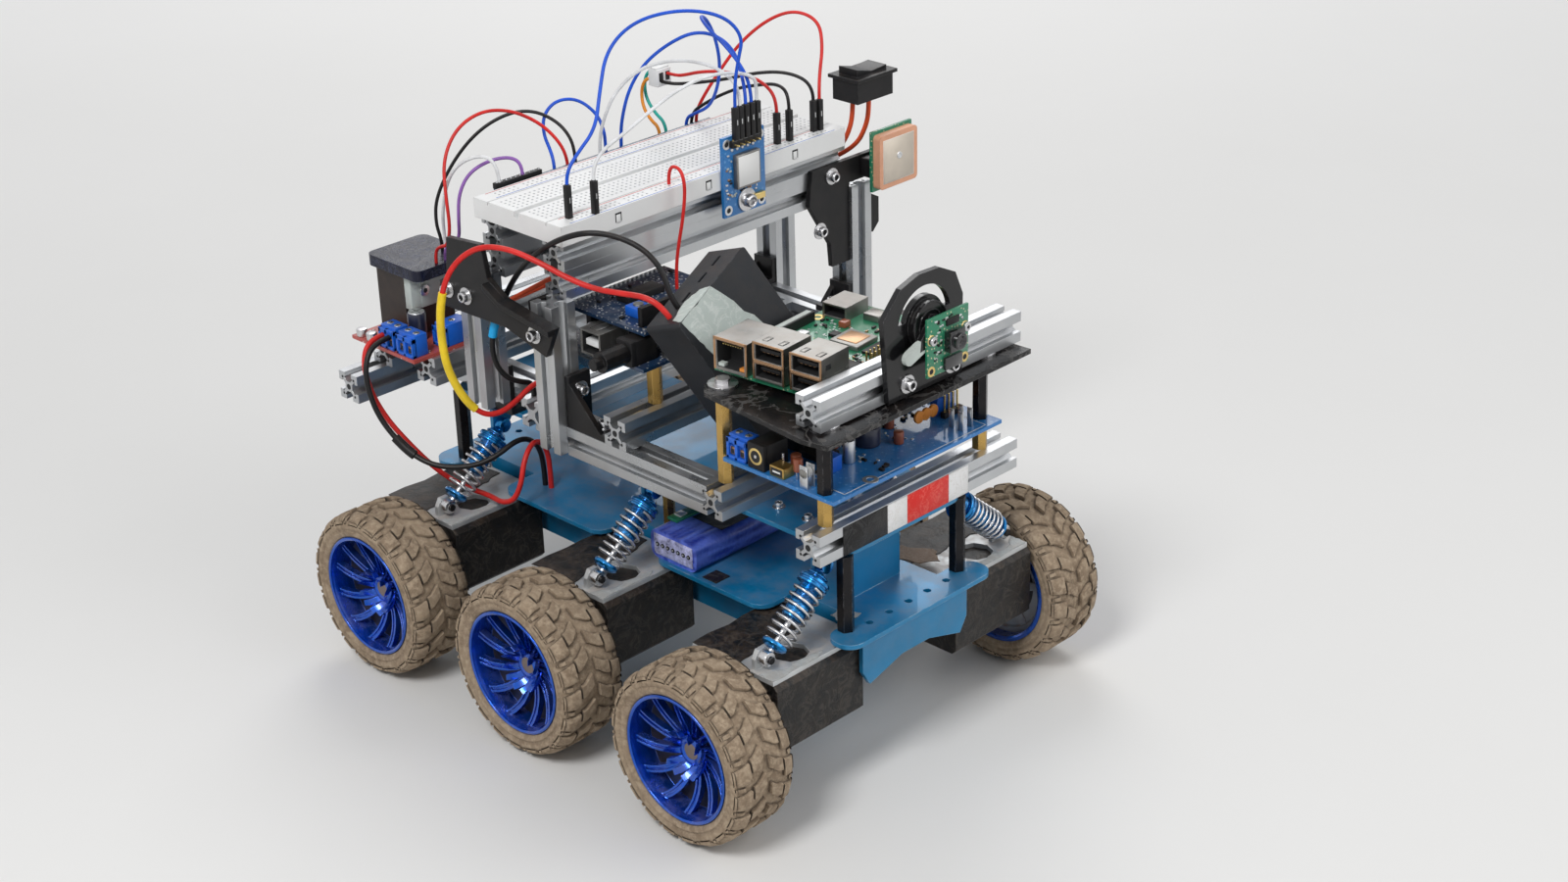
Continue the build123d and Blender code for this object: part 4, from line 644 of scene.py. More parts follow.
# name, diameter, finish, CAD node, route: the CAD's own points in chassis millimetres
WIRES = (
    ("red_jumper_to_rear_board", JUMPER, "red wire", "red_jumpers", (
        (-29.6, 109, 219.5), (-29.6, 109, 223.5), (-32.5, 112.5, 229.5), (-36.5, 119, 240),
        (-42, 122.5, 249.5), (-52, 118, 253.5), (-62, 111, 249), (-71.5, 102.5, 238.5), (-79, 95, 224),
        (-84, 90, 213), (-86.6, 88.3, 206), (-86.6, 88.3, 200),
    )),
    ("red_jumper_to_plug", JUMPER, "red wire", "red_jumpers", (
        (-30.5, 83.3, 219.5), (-30.5, 83.3, 224), (-34.5, 84, 229), (-45, 85, 232), (-58.5, 82, 232.5),
        (-70, 77.5, 231.5), (-78, 73, 229), (-82.5, 72.5, 228.5), (-87, 72.5, 228.5),
    )),
    ("red_jumper_to_lid", JUMPER, "red wire", "red_jumpers", (
        (-86.6, 12, 200), (-86.6, 12, 206), (-89.5, 9, 214.5), (-95, 3, 222.5), (-102, -6, 228),
        (-108, -16.5, 228.5), (-111.5, -27.5, 222.5), (-110.5, -36, 211), (-104.5, -40.5, 197.5),
        (-101.5, -42, 185), (-105, -41.5, 176), (-111, -40.5, 174), (-116, -40, 170.5), (-116, -40, 165),
    )),
    ("red_jumper_to_add_on_board", JUMPER, "red wire", "red_jumpers", (
        (-28.5, 17, 205.5), (-28.5, 17, 210), (-25.5, 16.5, 214.5), (-19.5, 16, 214), (-17, 15.5, 207),
        (-18, 14.5, 194), (-20, 12.5, 180), (-20.5, 11.5, 170), (-20.5, 11.5, 162.6),
    )),
    ("black_jumper_to_plug", JUMPER, "black wire", "black_jumpers", (
        (-30.4, 106, 219.5), (-30.4, 106, 224), (-34.5, 104.7, 229), (-44, 101, 231), (-54, 94.5, 230),
        (-64, 87, 227), (-73, 79, 225.5), (-78, 72, 225.5), (-82.5, 69, 225.5), (-87, 69, 225.5),
    )),
    ("black_jumper_to_rear_board", JUMPER, "black wire", "black_jumpers", (
        (-29.4, 89.8, 219.5), (-29.4, 89.8, 224), (-33, 91, 228), (-41, 93, 228), (-50.5, 93.3, 225.5),
        (-60, 91.5, 223), (-69.5, 88.5, 218.5), (-78.5, 86.5, 213), (-86.6, 85.2, 207), (-86.6, 85.2, 200),
    )),
    ("black_jumper_to_lid", JUMPER, "black wire", "black_jumpers", (
        (-86.6, 16.5, 200), (-86.6, 16.5, 206), (-89, 16.5, 213), (-95.5, 15, 219), (-104, 9.5, 223.5),
        (-112, 1.5, 222.5), (-120, -9, 215.5), (-126, -19, 203), (-129, -27.5, 188), (-128, -29.5, 177),
        (-125.5, -29, 170), (-125.5, -29, 165),
    )),
    ("blue_jumper_tall_arch", JUMPER, "blue wire", "coloured_jumpers", (
        (-29.5, -37, 219.5), (-29.5, -37, 224.5), (-30, -30.5, 230.5), (-31, -19, 238), (-36, -11.5, 250),
        (-41.5, -2, 264.5), (-39.5, 12, 274), (-31, 30, 276.5), (-22, 45, 272.5), (-17.5, 52, 263),
        (-18.5, 49.5, 252.5), (-19, 47.4, 242), (-19, 47.4, 233),
    )),
    ("blue_jumper_upper", JUMPER, "blue wire", "coloured_jumpers", (
        (-19, 53.6, 233), (-19, 53.6, 237.5), (-24, 57, 243), (-32, 61.5, 250.5), (-42, 62, 256),
        (-53, 58, 257), (-64, 52, 250.5), (-74, 47, 241), (-80.5, 43.5, 229), (-84, 42, 216),
        (-86.6, 43, 207), (-86.6, 43, 200),
    )),
    ("blue_jumper_long_way", JUMPER, "blue wire", "coloured_jumpers", (
        (-19, 56.9, 233), (-19, 56.9, 237.5), (-21.5, 56.5, 245.5), (-29.5, 54.5, 255), (-40, 53.5, 261.5),
        (-49, 57.5, 264.5), (-53, 65, 261), (-54, 70.5, 252.5), (-54.5, 73.5, 242), (-58, 76.5, 232),
        (-64, 79.5, 222), (-72, 82.5, 213.5), (-80.5, 82, 209), (-86.6, 82, 205.5), (-86.6, 82, 200),
    )),
    ("white_jumper_to_breadboard", JUMPER, "white wire", "coloured_jumpers", (
        (-19, 60.2, 233), (-19, 60.2, 237.5), (-17.5, 58, 244.5), (-23.5, 49.5, 247), (-27, 37, 247),
        (-28, 21, 244), (-28.2, 5, 238), (-28, -8, 233), (-27, -18.5, 230.5), (-25.4, -26.5, 225.5),
        (-25.4, -26.5, 219.5),
    )),
    ("white_jumper_to_rear_board", JUMPER, "white wire", "coloured_jumpers", (
        (-19, 50.2, 233), (-19, 50.2, 237.5), (-22.5, 51, 242.5), (-30, 51, 246), (-42, 49, 248),
        (-55, 44.5, 247), (-67, 38, 242.5), (-77, 32.5, 231.5), (-83, 30.5, 218.5), (-86.6, 30.5, 208),
        (-86.6, 30.5, 200),
    )),
    ("purple_jumper_to_lid", JUMPER, "purple wire", "coloured_jumpers", (
        (-83.3, -15.8, 206), (-83.3, -15.8, 210.5), (-86, -19, 214), (-92, -25.5, 213), (-97.5, -33, 208),
        (-99, -38, 199.5), (-98.5, -39.5, 189), (-101.5, -37.5, 179.5), (-108.5, -35.5, 174),
        (-116, -35, 170.5), (-116, -35, 165),
    )),
    ("white_jumper_to_lid", JUMPER, "white wire", "coloured_jumpers", (
        (-83.3, -28.5, 206), (-83.3, -28.5, 211), (-86, -30.5, 217), (-94, -33.5, 216),
        (-103.5, -36, 209.5), (-111.5, -35.5, 198), (-117.5, -33.5, 184), (-120.5, -31, 172.5),
        (-120.5, -31, 165),
    )),
    ("blue_jumper_rear_loop", JUMPER, "blue wire", "coloured_jumpers", (
        (-86.6, 4.5, 200), (-86.6, 4.5, 204.5), (-90, 6, 209), (-98, 9, 214.5), (-103.5, 14.5, 220.5),
        (-103.5, 22, 225), (-98.5, 29.5, 225), (-91.5, 34, 219), (-87, 34, 212), (-86.6, 34, 205.5),
        (-86.6, 34, 200),
    )),
    ("teal_lead_of_the_plug", JUMPER, "teal wire", "coloured_jumpers", (
        (-93, 72.5, 228.5), (-97, 72.5, 228.5), (-101.5, 72, 224), (-100.5, 71, 215.5), (-94, 70.3, 209.5),
        (-86.6, 70, 206), (-86.6, 70, 200),
    )),
    ("orange_lead_of_the_plug", JUMPER, "orange wire", "coloured_jumpers", (
        (-93, 69, 225.5), (-96.5, 69, 225.5), (-99.5, 68, 220.5), (-97.5, 66.5, 212.5), (-92, 66, 207.5),
        (-86.6, 66, 205), (-86.6, 66, 200),
    )),
    ("switch_lead_near", SWITCH_LEAD, "switch wire", "red_power_leads", (
        (-33, 134, 214), (-33, 134, 206), (-34, 132.5, 198), (-38, 131, 190), (-46, 125.5, 185.5),
        (-51, 113, 183), (-54, 100, 182.5), (-54.5, 84, 182), (-55, 66, 181), (-56, 48, 179.5),
        (-58, 30, 176.5), (-62, 15, 171.5), (-69, 3, 165), (-79, -6, 158), (-90, -13, 150.5),
        (-99, -19, 144), (-105, -27.5, 137), (-105, -36, 137),
    )),
    ("switch_lead_far", SWITCH_LEAD, "switch wire", "red_power_leads", (
        (-27, 138, 214), (-27, 138, 206.5), (-29, 137.5, 199), (-33.5, 137, 191), (-41.5, 132.5, 184.5),
        (-50, 121, 180.5), (-57, 106, 179.5), (-59, 89, 179), (-59, 71, 178), (-59.5, 53, 176),
        (-61.5, 35, 172.5), (-66, 20, 167), (-73, 8, 160.5), (-83, -1, 154), (-94, -9, 147.5),
        (-102, -17, 142.5), (-108.5, -27, 137), (-108.5, -36, 137),
    )),
    ("case_lead_red", POWER_LEAD, "red wire", "red_power_leads", (
        (24.8, -34.6, 176.4), (23, -37.1, 181.5), (16, -39.5, 184.5), (5, -41.5, 183.5), (-7, -44.5, 183),
        (-18, -49, 186), (-29, -54, 191.5), (-41, -59.5, 196), (-53, -64, 195.5), (-62, -68.5, 189.5),
        (-67.5, -72.5, 180), (-69.5, -75, 167), (-69.5, -75.5, 153), (-68.5, -74.5, 140), (-65, -70.5, 127),
        (-61, -64.5, 118.5), (-59, -56.5, 117), (-58, -48.5, 120), (-57.5, -40.5, 124.5),
        (-57.5, -33.5, 125), (-57.5, -30, 122.5), (-57.5, -30, 117.7),
    )),
    ("driver_lead_red", POWER_LEAD, "red wire", "red_power_leads", (
        (-122.8, -66.5, 138), (-122.8, -74.5, 138), (-121, -79.5, 129), (-117.5, -79.5, 117),
        (-112, -76.5, 105), (-105, -71.5, 94), (-99, -65, 83), (-94, -58, 74.5), (-86.5, -53, 70.7),
        (-77, -51.5, 70.5), (-68, -52.5, 70.5), (-60, -52, 74), (-57.5, -49.5, 82), (-59, -46, 91),
        (-61.5, -39, 96.5), (-63, -32, 94), (-63.5, -29, 87), (-64, -28, 78.5), (-64, -28, 70),
    )),
    ("case_lead_black", POWER_LEAD, "black wire", "black_power_leads", (
        (23.98, -29.14, 178.86), (22.2, -31.67, 183.97), (18.5, -31, 193), (10.5, -33, 201),
        (0, -38, 205.5), (-9, -45, 207), (-19.7, -50, 203), (-31.5, -51, 195.5), (-43, -50.5, 186.5),
        (-55, -47.8, 175), (-62, -47.8, 164.5), (-67, -49, 154.5), (-69, -50.2, 145), (-68.5, -50, 135.5),
        (-66, -46.5, 128), (-62.8, -41, 125), (-61.2, -36, 123.5), (-61.2, -36, 117.7),
    )),
    ("driver_lead_black", POWER_LEAD, "black wire", "black_power_leads", (
        (-118.4, -66.5, 138), (-118.4, -75, 138), (-117, -81.5, 130.5), (-114, -83, 119.5),
        (-110, -82, 109), (-103.5, -79.5, 100), (-95, -76.5, 93), (-87, -72.5, 89.5), (-80, -66.5, 88.5),
        (-74, -59, 89), (-70, -51, 92), (-68.5, -43, 96), (-68, -36, 95.5), (-68, -30, 89.5),
        (-68, -28, 79.5), (-68, -28, 70),
    )),
)


def lay_wires():
    """Every wire of the table."""
    for row in WIRES:
        wire(*row)


# Mesh helpers


class Shape:
    """Closed forms gathered in millimetres, each with its finish, that become one piece."""

    def __init__(self):
        self.mesh = bmesh.new()
        self.finishes = []

    def index(self, finish_name):
        """Number of a finish in the piece's slots."""
        if finish_name not in self.finishes:
            self.finishes.append(finish_name)
        return self.finishes.index(finish_name)

    def paint(self, verts, finish_name):
        """Gives the faces round some vertices their finish."""
        number = self.index(finish_name)
        for face in {face for vert in verts for face in vert.link_faces}:
            face.material_index = number

    def box(self, x, y, z, finish_name, bevel=0.0, turn=None):
        """Block between two places on each axis, its edges rounded, turned about its own middle."""
        size = Vector((x[1] - x[0], y[1] - y[0], z[1] - z[0]))
        middle = Vector(((x[0] + x[1]) / 2, (y[0] + y[1]) / 2, (z[0] + z[1]) / 2))
        place = Matrix.Translation(middle)
        if turn:
            place = place @ turn.to_4x4()
        verts = bmesh.ops.create_cube(
            self.mesh, size=1.0, matrix=place @ Matrix.Diagonal((*size, 1.0)),
        )["verts"]
        if bevel:
            edges = list({edge for vert in verts for edge in vert.link_edges})
            made = bmesh.ops.bevel(
                self.mesh, geom=edges, offset=bevel, segments=2, profile=0.5, affect="EDGES",
            )
            verts = made["verts"]
        self.paint(verts, finish_name)

    def rod(self, start, end, radius, finish_name, sides=16, bevel=0.0):
        """Bar of many sides from one point to another, its sharp edges rounded."""
        start, end = Vector(start), Vector(end)
        run = end - start
        place = Matrix.Translation((start + end) / 2) @ run.to_track_quat("Z", "Y").to_matrix().to_4x4()
        verts = bmesh.ops.create_cone(
            self.mesh, cap_ends=True, segments=sides, radius1=radius, radius2=radius, depth=run.length,
            matrix=place,
        )["verts"]
        if bevel:
            edges = [
                edge
                for edge in {edge for vert in verts for edge in vert.link_edges}
                if len(edge.link_faces) == 2 and edge.calc_face_angle(0.0) > 0.9
            ]
            made = bmesh.ops.bevel(
                self.mesh, geom=edges, offset=bevel, segments=2, profile=0.5, affect="EDGES",
            )
            verts = list({*[vert for vert in verts if vert.is_valid], *made["verts"]})
        self.paint(verts, finish_name)

    def turned(self, profile, start, direction, finish_name, sides=48, closed=True):
        """Form turned round an axis; the profile is (radius, distance along the axis) pairs."""
        frame_of = Vector(direction).to_track_quat("Z", "Y").to_matrix()
        start = Vector(start)
        rings = []
        for radius, along in profile:
            ring = []
            for n in range(sides):
                angle = 2 * math.pi * n / sides
                point = Vector((radius * math.cos(angle), radius * math.sin(angle), along))
                ring.append(self.mesh.verts.new(start + frame_of @ point))
            rings.append(ring)
        pairs = list(zip(rings, rings[1:]))
        if closed:
            pairs.append((rings[-1], rings[0]))
        for low, high in pairs:
            for n in range(sides):
                after = (n + 1) % sides
                self.mesh.faces.new((low[n], low[after], high[after], high[n]))
        if not closed:
            self.mesh.faces.new(list(reversed(rings[0])))
            self.mesh.faces.new(rings[-1])
        self.paint([vert for ring in rings for vert in ring], finish_name)

    def plate(self, outline, normal, thickness, finish_name):
        """Flat plate from the points of its face, thickened along its normal."""
        step = Vector(normal).normalized() * thickness
        low = [self.mesh.verts.new(Vector(point)) for point in outline]
        high = [self.mesh.verts.new(Vector(point) + step) for point in outline]
        self.mesh.faces.new(low)
        self.mesh.faces.new(list(reversed(high)))
        for n in range(len(low)):
            after = (n + 1) % len(low)
            self.mesh.faces.new((low[after], low[n], high[n], high[after]))
        self.paint(low + high, finish_name)

    def grid(self, rows, finish_name):
        """Open skin through rows of points."""
        made = [[self.mesh.verts.new(Vector(point)) for point in row] for row in rows]
        for low, high in zip(made, made[1:]):
            for n in range(len(low) - 1):
                self.mesh.faces.new((low[n], low[n + 1], high[n + 1], high[n]))
        self.paint([vert for row in made for vert in row], finish_name)

    def take(self, mesh, finish_name, place=None):
        """Adds a copy of a finished mesh, which is in millimetres too."""
        copy = mesh.copy()
        if place is not None:
            copy.transform(place)
        copy.polygons.foreach_set("material_index", [self.index(finish_name)] * len(copy.polygons))
        self.mesh.from_mesh(copy)
        bpy.data.meshes.remove(copy)

    def boxes(self, rows, base=0.0):
        """Blocks from rows of spans along x, y and z, finish and rounding; heights count from a base."""
        for x0, x1, y0, y1, z0, z1, finish_name, bevel in rows:
            self.box((x0, x1), (y0, y1), (base + z0, base + z1), finish_name, bevel)

    def posts(self, rows, base=0.0):
        """Upright round parts from rows of x, y, foot, top, radius, finish, sides and rounding."""
        for x, y, foot, top, radius, finish_name, sides, bevel in rows:
            self.rod((x, y, base + foot), (x, y, base + top), radius, finish_name, sides, bevel=bevel)

    def ring(self, place, inner, outer, height, finish_name, facing=(0, 0, 1)):
        """Flat ring round a hole."""
        profile = ((inner, 0), (outer, 0), (outer, height), (inner, height))
        self.turned(profile, place, facing, finish_name, sides=24)

    def stamp(self, mesh, places, finish_name):
        """A mesh, made upright at the origin, set at each (point, direction, size)."""
        made = placed(mesh, places, finish_name)
        self.take(made, finish_name)
        bpy.data.meshes.remove(made)

    def to_mesh(self, name, smooth=38.0, recalculate=True):
        """The finished mesh, with soft shading up to an angle and every face pointing out."""
        if recalculate:
            bmesh.ops.recalc_face_normals(self.mesh, faces=self.mesh.faces)
        mesh = bpy.data.meshes.new(name)
        self.mesh.to_mesh(mesh)
        self.mesh.free()
        for finish_name in self.finishes:
            mesh.materials.append(FINISHES[finish_name])
        mesh.polygons.foreach_set("use_smooth", [True] * len(mesh.polygons))
        mesh.set_sharp_from_angle(angle=math.radians(smooth))
        return mesh


def on_chassis():
    """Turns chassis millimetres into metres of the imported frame."""
    return Matrix.Scale(MM, 4) @ Matrix.Translation((*OUTLINE_MIDDLE, 0.0))


def piece(name, form, stands_for=(), body="chassis", place=None):
    """A finished piece from a shape or a mesh; it sits at the origin, its place in its mesh."""
    mesh = form.to_mesh(name) if isinstance(form, Shape) else form
    mesh.transform(on_chassis() if place is None else place)
    made = bpy.data.objects.new(name, mesh)
    bpy.context.scene.collection.objects.link(made)
    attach(made, body)
    if stands_for:
        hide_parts(*stands_for)
    return made


# Geometry node trees

MATERIAL = "NodeSocketMaterial"


def geometry_tree(name, inputs):
    """A tree that takes and gives a geometry, with its other named inputs."""
    tree = bpy.data.node_groups.new(name, "GeometryNodeTree")
    tree.interface.new_socket("Geometry", in_out="INPUT", socket_type="NodeSocketGeometry")
    for label, kind in inputs:
        tree.interface.new_socket(label, in_out="INPUT", socket_type=kind)
    tree.interface.new_socket("Geometry", in_out="OUTPUT", socket_type="NodeSocketGeometry")
    return tree, tree.nodes.new("NodeGroupInput").outputs, tree.nodes.new("NodeGroupOutput").inputs


def end_tree(tree, geometry, material, out):
    """Every tree ends in real copies with their finish."""
    real = add(tree, "GeometryNodeRealizeInstances", {0: geometry})
    done = add(tree, "GeometryNodeSetMaterial", {"Geometry": real.outputs[0], "Material": material})
    tree.links.new(done.outputs[0], out[0])
    return tree


def make_repeat_tree():
    """Copies of a shape, each one turn on round the origin."""
    tree, given, out = geometry_tree(
        "repeat round", (("Count", "NodeSocketInt"), ("Turn", VECTOR), ("Finish", MATERIAL))
    )
    index = add(tree, "GeometryNodeInputIndex").outputs[0]
    turn = add(tree, "ShaderNodeVectorMath", {0: given["Turn"], "Scale": index}, operation="SCALE").outputs[0]
    points = add(tree, "GeometryNodePoints", {"Count": given["Count"]}).outputs[0]
    copies = add(
        tree,
        "GeometryNodeInstanceOnPoints",
        {"Points": points, "Instance": given["Geometry"], "Rotation": turn},
    )
    return end_tree(tree, copies.outputs[0], given["Finish"], out)


def make_placed_tree():
    """A shape at every vertex, turned and sized by the vertex's own attributes."""
    tree, given, out = geometry_tree(
        "set at marked places", (("Shape", "NodeSocketObject"), ("Finish", MATERIAL))
    )
    shape = add(tree, "GeometryNodeObjectInfo", {"Object": given["Shape"]}).outputs["Geometry"]
    turn, size = (
        add(tree, "GeometryNodeInputNamedAttribute", {"Name": name}, data_type="FLOAT_VECTOR").outputs[0]
        for name in ("turn", "size")
    )
    copies = add(
        tree,
        "GeometryNodeInstanceOnPoints",
        {"Points": given["Geometry"], "Instance": shape, "Rotation": turn, "Scale": size},
    )
    return end_tree(tree, copies.outputs[0], given["Finish"], out)


def make_coil_tree():
    """A coil spring: round wire along a spiral."""
    tree, given, out = geometry_tree(
        "coil spring",
        (
            ("Turns", FLOAT), ("Radius", FLOAT), ("Height", FLOAT), ("Wire Radius", FLOAT),
            ("Finish", MATERIAL),
        ),
    )
    spiral = add(
        tree,
        "GeometryNodeCurveSpiral",
        {
            "Resolution": 22, "Rotations": given["Turns"], "Start Radius": given["Radius"],
            "End Radius": given["Radius"], "Height": given["Height"],
        },
    )
    section = add(tree, "GeometryNodeCurvePrimitiveCircle", {"Resolution": 9, "Radius": given["Wire Radius"]})
    coil = add(
        tree,
        "GeometryNodeCurveToMesh",
        {"Curve": spiral.outputs[0], "Profile Curve": section.outputs[0], "Fill Caps": True},
    )
    return end_tree(tree, coil.outputs[0], given["Finish"], out)


REPEAT = make_repeat_tree()
PLACED = make_placed_tree()
COIL = make_coil_tree()


def grown(mesh, tree, values):
    """The plain mesh that a tree makes from a mesh, with its modifier gone."""
    seed = bpy.data.objects.new("seed", mesh)
    bpy.context.scene.collection.objects.link(seed)
    growth = seed.modifiers.new("growth", "NODES")
    growth.node_group = tree
    sockets = {item.name: item.identifier for item in tree.interface.items_tree if item.in_out == "INPUT"}
    for name, value in values.items():
        growth[sockets[name]] = value
    bpy.context.view_layer.update()
    made = bpy.data.meshes.new_from_object(seed.evaluated_get(bpy.context.evaluated_depsgraph_get()))
    bpy.data.objects.remove(seed)
    return made


def repeated(mesh, count, finish_name):
    """Copies of a mesh in a ring round the wheel's axle."""
    turn = (0.0, 2 * math.pi / count, 0.0)
    return grown(mesh, REPEAT, {"Count": count, "Turn": turn, "Finish": FINISHES[finish_name]})


def placed(shape_mesh, places, finish_name):
    """The shape, made upright at the origin, at each (point, direction, size)."""
    marks = bpy.data.meshes.new("marks")
    marks.from_pydata([tuple(point) for point, _, _ in places], [], [])
    turns = marks.attributes.new("turn", "FLOAT_VECTOR", "POINT")
    sizes = marks.attributes.new("size", "FLOAT_VECTOR", "POINT")
    for n, (_, direction, size) in enumerate(places):
        turns.data[n].vector = Vector(direction).to_track_quat("Z", "Y").to_euler()
        sizes.data[n].vector = (size, size, size) if isinstance(size, (int, float)) else size
    shape = bpy.data.objects.new("shape", shape_mesh)
    made = grown(marks, PLACED, {"Shape": shape, "Finish": FINISHES[finish_name]})
    bpy.data.objects.remove(shape)
    return made


# Wheels: made in millimetres round the Y axis, outer face towards -Y, then set on each hub

TYRE_RADIUS = 37.0
TREAD_BASE = 35.3
BEAD_RADIUS = 27.0
LUGS_ROUND = 20
WHEEL_MIDDLE = 93.5
SPOKES = 12
SWIRL = 16.0
VANES = 6

# The centre, shoulder and notch blocks: rows of (across, first angle, last angle, drop under the tread's own
# radius), then how many columns of points each has
TREAD_BLOCKS = (
    ((
        (1.5, 0.0, 8.6, 0.018), (3.6, 2.6, 11.2, 0.0432), (5.6, 5.0, 13.6, 0.0672), (7.6, 5.6, 14.2, 0.0912),
    ), 4),
    ((
        (8.6, 7.2, 19.2, 0.1), (10.6, 8.0, 19.6, 0.25), (12.6, 8.6, 20.0, 0.8), (14.0, 9.0, 20.2, 1.9),
        (14.9, 9.4, 20.2, 3.6),
    ), 4),
    (((11.4, 21.4, 24.4, 1.1), (13.2, 21.6, 24.4, 1.6), (14.7, 21.8, 24.2, 3.3)), 3),
)


def on_wheel(radius, angle, across):
    """A point of the wheel from its radius, its angle from the top and its distance across."""
    turn = math.radians(angle)
    return (radius * math.sin(turn), across, radius * math.cos(turn))


def lug(shape, rows, columns=4):
    """A tread block through rows of (across, first angle, last angle, radius), chamfered all round."""
    first, last = rows[0], rows[-1]
    foot = TREAD_BASE - 0.7
    chamfer = 0.45
    before = ((*first[:3], foot), (*first[:3], first[3] - chamfer))
    after = ((*last[:3], last[3] - chamfer), (*last[:3], foot))
    skin = []
    for across, begin, end, radius in (*before, *rows, *after):
        inset = (end - begin) * 0.06
        line = [on_wheel(min(foot, radius), begin, across), on_wheel(radius - 0.4, begin, across)]
        for n in range(columns):
            angle = begin + inset + (end - begin - 2 * inset) * n / (columns - 1)
            line.append(on_wheel(radius, angle, across))
        line += [on_wheel(radius - 0.4, end, across), on_wheel(min(foot, radius), end, across)]
        skin.append(line)
    shape.grid(skin, "tyre")


def make_tyre_mesh():
    """Tyre with a centre groove, slanted centre blocks and notched shoulder blocks."""
    body = Shape()
    half = (
        (BEAD_RADIUS, 13.6), (28.2, 14.5), (29.4, 14.9), (29.9, 14.45), (30.7, 14.5), (31.2, 15.0),
        (32.6, 15.0),
        (33.8, 14.4), (34.6, 13.2), (TREAD_BASE, 11.2), (TREAD_BASE + 0.15, 2.6), (TREAD_BASE - 0.3, 1.2),
    )
    profile = [*half, *((radius, -across) for radius, across in reversed(half))]
    round_axle(body, profile, "tyre", 96)
    for side in (-1, 1):
        turn = Matrix.Rotation(math.pi / LUGS_ROUND if side > 0 else 0.0, 4, "Y")
        for rows, columns in TREAD_BLOCKS:
            block = Shape()
            cuts = [(side * across, begin, end, TYRE_RADIUS - drop) for across, begin, end, drop in rows]
            lug(block, cuts, columns)
            ring = repeated(block.to_mesh("block"), LUGS_ROUND, "tyre")
            body.take(ring, "tyre", turn)
            bpy.data.meshes.remove(ring)
    return body.to_mesh("tyre", 50.0)


def round_axle(shape, profile, finish_name, sides):
    """Form turned round the wheel's own axis."""
    shape.turned(profile, (0, 0, 0), (0, 1, 0), finish_name, sides)


def rib(shape, path, width, depth, finish_name):
    """Thin blade along points in the wheel's plane; its depth runs across the wheel."""
    rows = []
    for number, point in enumerate(path):
        before = Vector(path[max(0, number - 1)])
        after = Vector(path[min(len(path) - 1, number + 1)])
        run = after - before
        aside = Vector((run.z, 0, -run.x)).normalized() * width / 2
        here = Vector(point)
        deep = Vector((0, depth, 0))
        rows.append([here - aside, here + aside, here + aside + deep, here - aside + deep, here - aside])
    shape.grid(rows, finish_name)
    for row in (rows[0], rows[-1]):
        verts = [shape.mesh.verts.new(point) for point in row[:4]]
        shape.mesh.faces.new(verts)
        shape.paint(verts, finish_name)


def spoke_path(offset, inner=5.2, outer=25.4):
    """From the hub out to the barrel, dished outwards and swept on by a few degrees."""
    points = []
    for n in range(8):
        t = n / 7
        radius = inner + (outer - inner) * t
        angle = offset / max(radius, 8.0) * 57.3 + SWIRL * t * t
        across = -4.6 - 6.6 * t**1.6
        points.append(on_wheel(radius, angle, across))
    return points


def make_rim_mesh():
    """Deep rim: barrel with a rolled lip, twelve double spokes, hub, a near-black disc of painted shade
    behind the spokes and another behind the vanes, and a vaned back.
    """
    shape = Shape()
    barrel = (
        (27.0, -13.4), (26.8, -14.1), (26.1, -14.4), (25.4, -14.0), (25.2, -13.0), (24.7, -11.8),
        (24.7, 13.6), (25.6, 14.1), (27.0, 13.8),
    )
    round_axle(shape, barrel, "rim", 96)
    # Painted shade: a near-black disc behind the spokes stands for the shadow inside the wheel
    round_axle(shape, ((4.0, -2.2), (24.8, -3.6), (24.8, -2.8), (4.0, -1.4)), "painted rim shade", 72)
    pair = Shape()
    rib(pair, spoke_path(-1.2), 1.0, 3.0, "rim")
    rib(pair, spoke_path(1.0), 0.8, 3.0, "rim")
    rib(pair, [Vector(point) + Vector((0, 1.1, 0)) for point in spoke_path(-0.1)], 2.0, 1.2, "rim")
    web = Shape()
    rib(web, spoke_path(0.0, 5.0, 9.5), 2.6, 2.6, "rim")
    for spoke in (pair, web):
        shape.take(repeated(spoke.to_mesh("spoke"), SPOKES, "rim"), "rim")
    hub = ((3.2, -2.4), (3.2, -5.4), (4.4, -6.2), (6.2, -5.6), (6.6, -4.6), (6.6, -1.5))
    round_axle(shape, hub, "rim", 48)
    vane = Shape()
    shares = (0, 0.15, 0.3, 0.45, 0.6, 0.75, 0.9, 1.0)
    path = [on_wheel(6.0 + 18.5 * t, 26 * math.sin(t * 2.2), 6.4) for t in shares]
    rib(vane, path, 3.6, 1.6, "rim back")
    shape.take(repeated(vane.to_mesh("vane"), VANES, "rim back"), "rim back")
    for profile, finish_name, sides in (
        (((17.2, 6.0), (24.8, 6.0), (24.8, 8.6), (22.6, 8.6), (22.0, 7.2), (17.2, 7.2)), "rim back", 72),
        (((3.2, 5.6), (8.6, 5.6), (8.6, 8.6), (6.0, 10.4), (5.2, 12.6), (3.2, 12.6)), "rim back", 48),
        # A second near-black disc of painted shade, behind the vanes
        (((3.2, 5.6), (24.9, 5.0), (24.9, 4.4), (3.2, 4.8)), "painted rim shade", 72),
    ):
        round_axle(shape, profile, finish_name, sides)
    return shape.to_mesh("rim", 35.0)


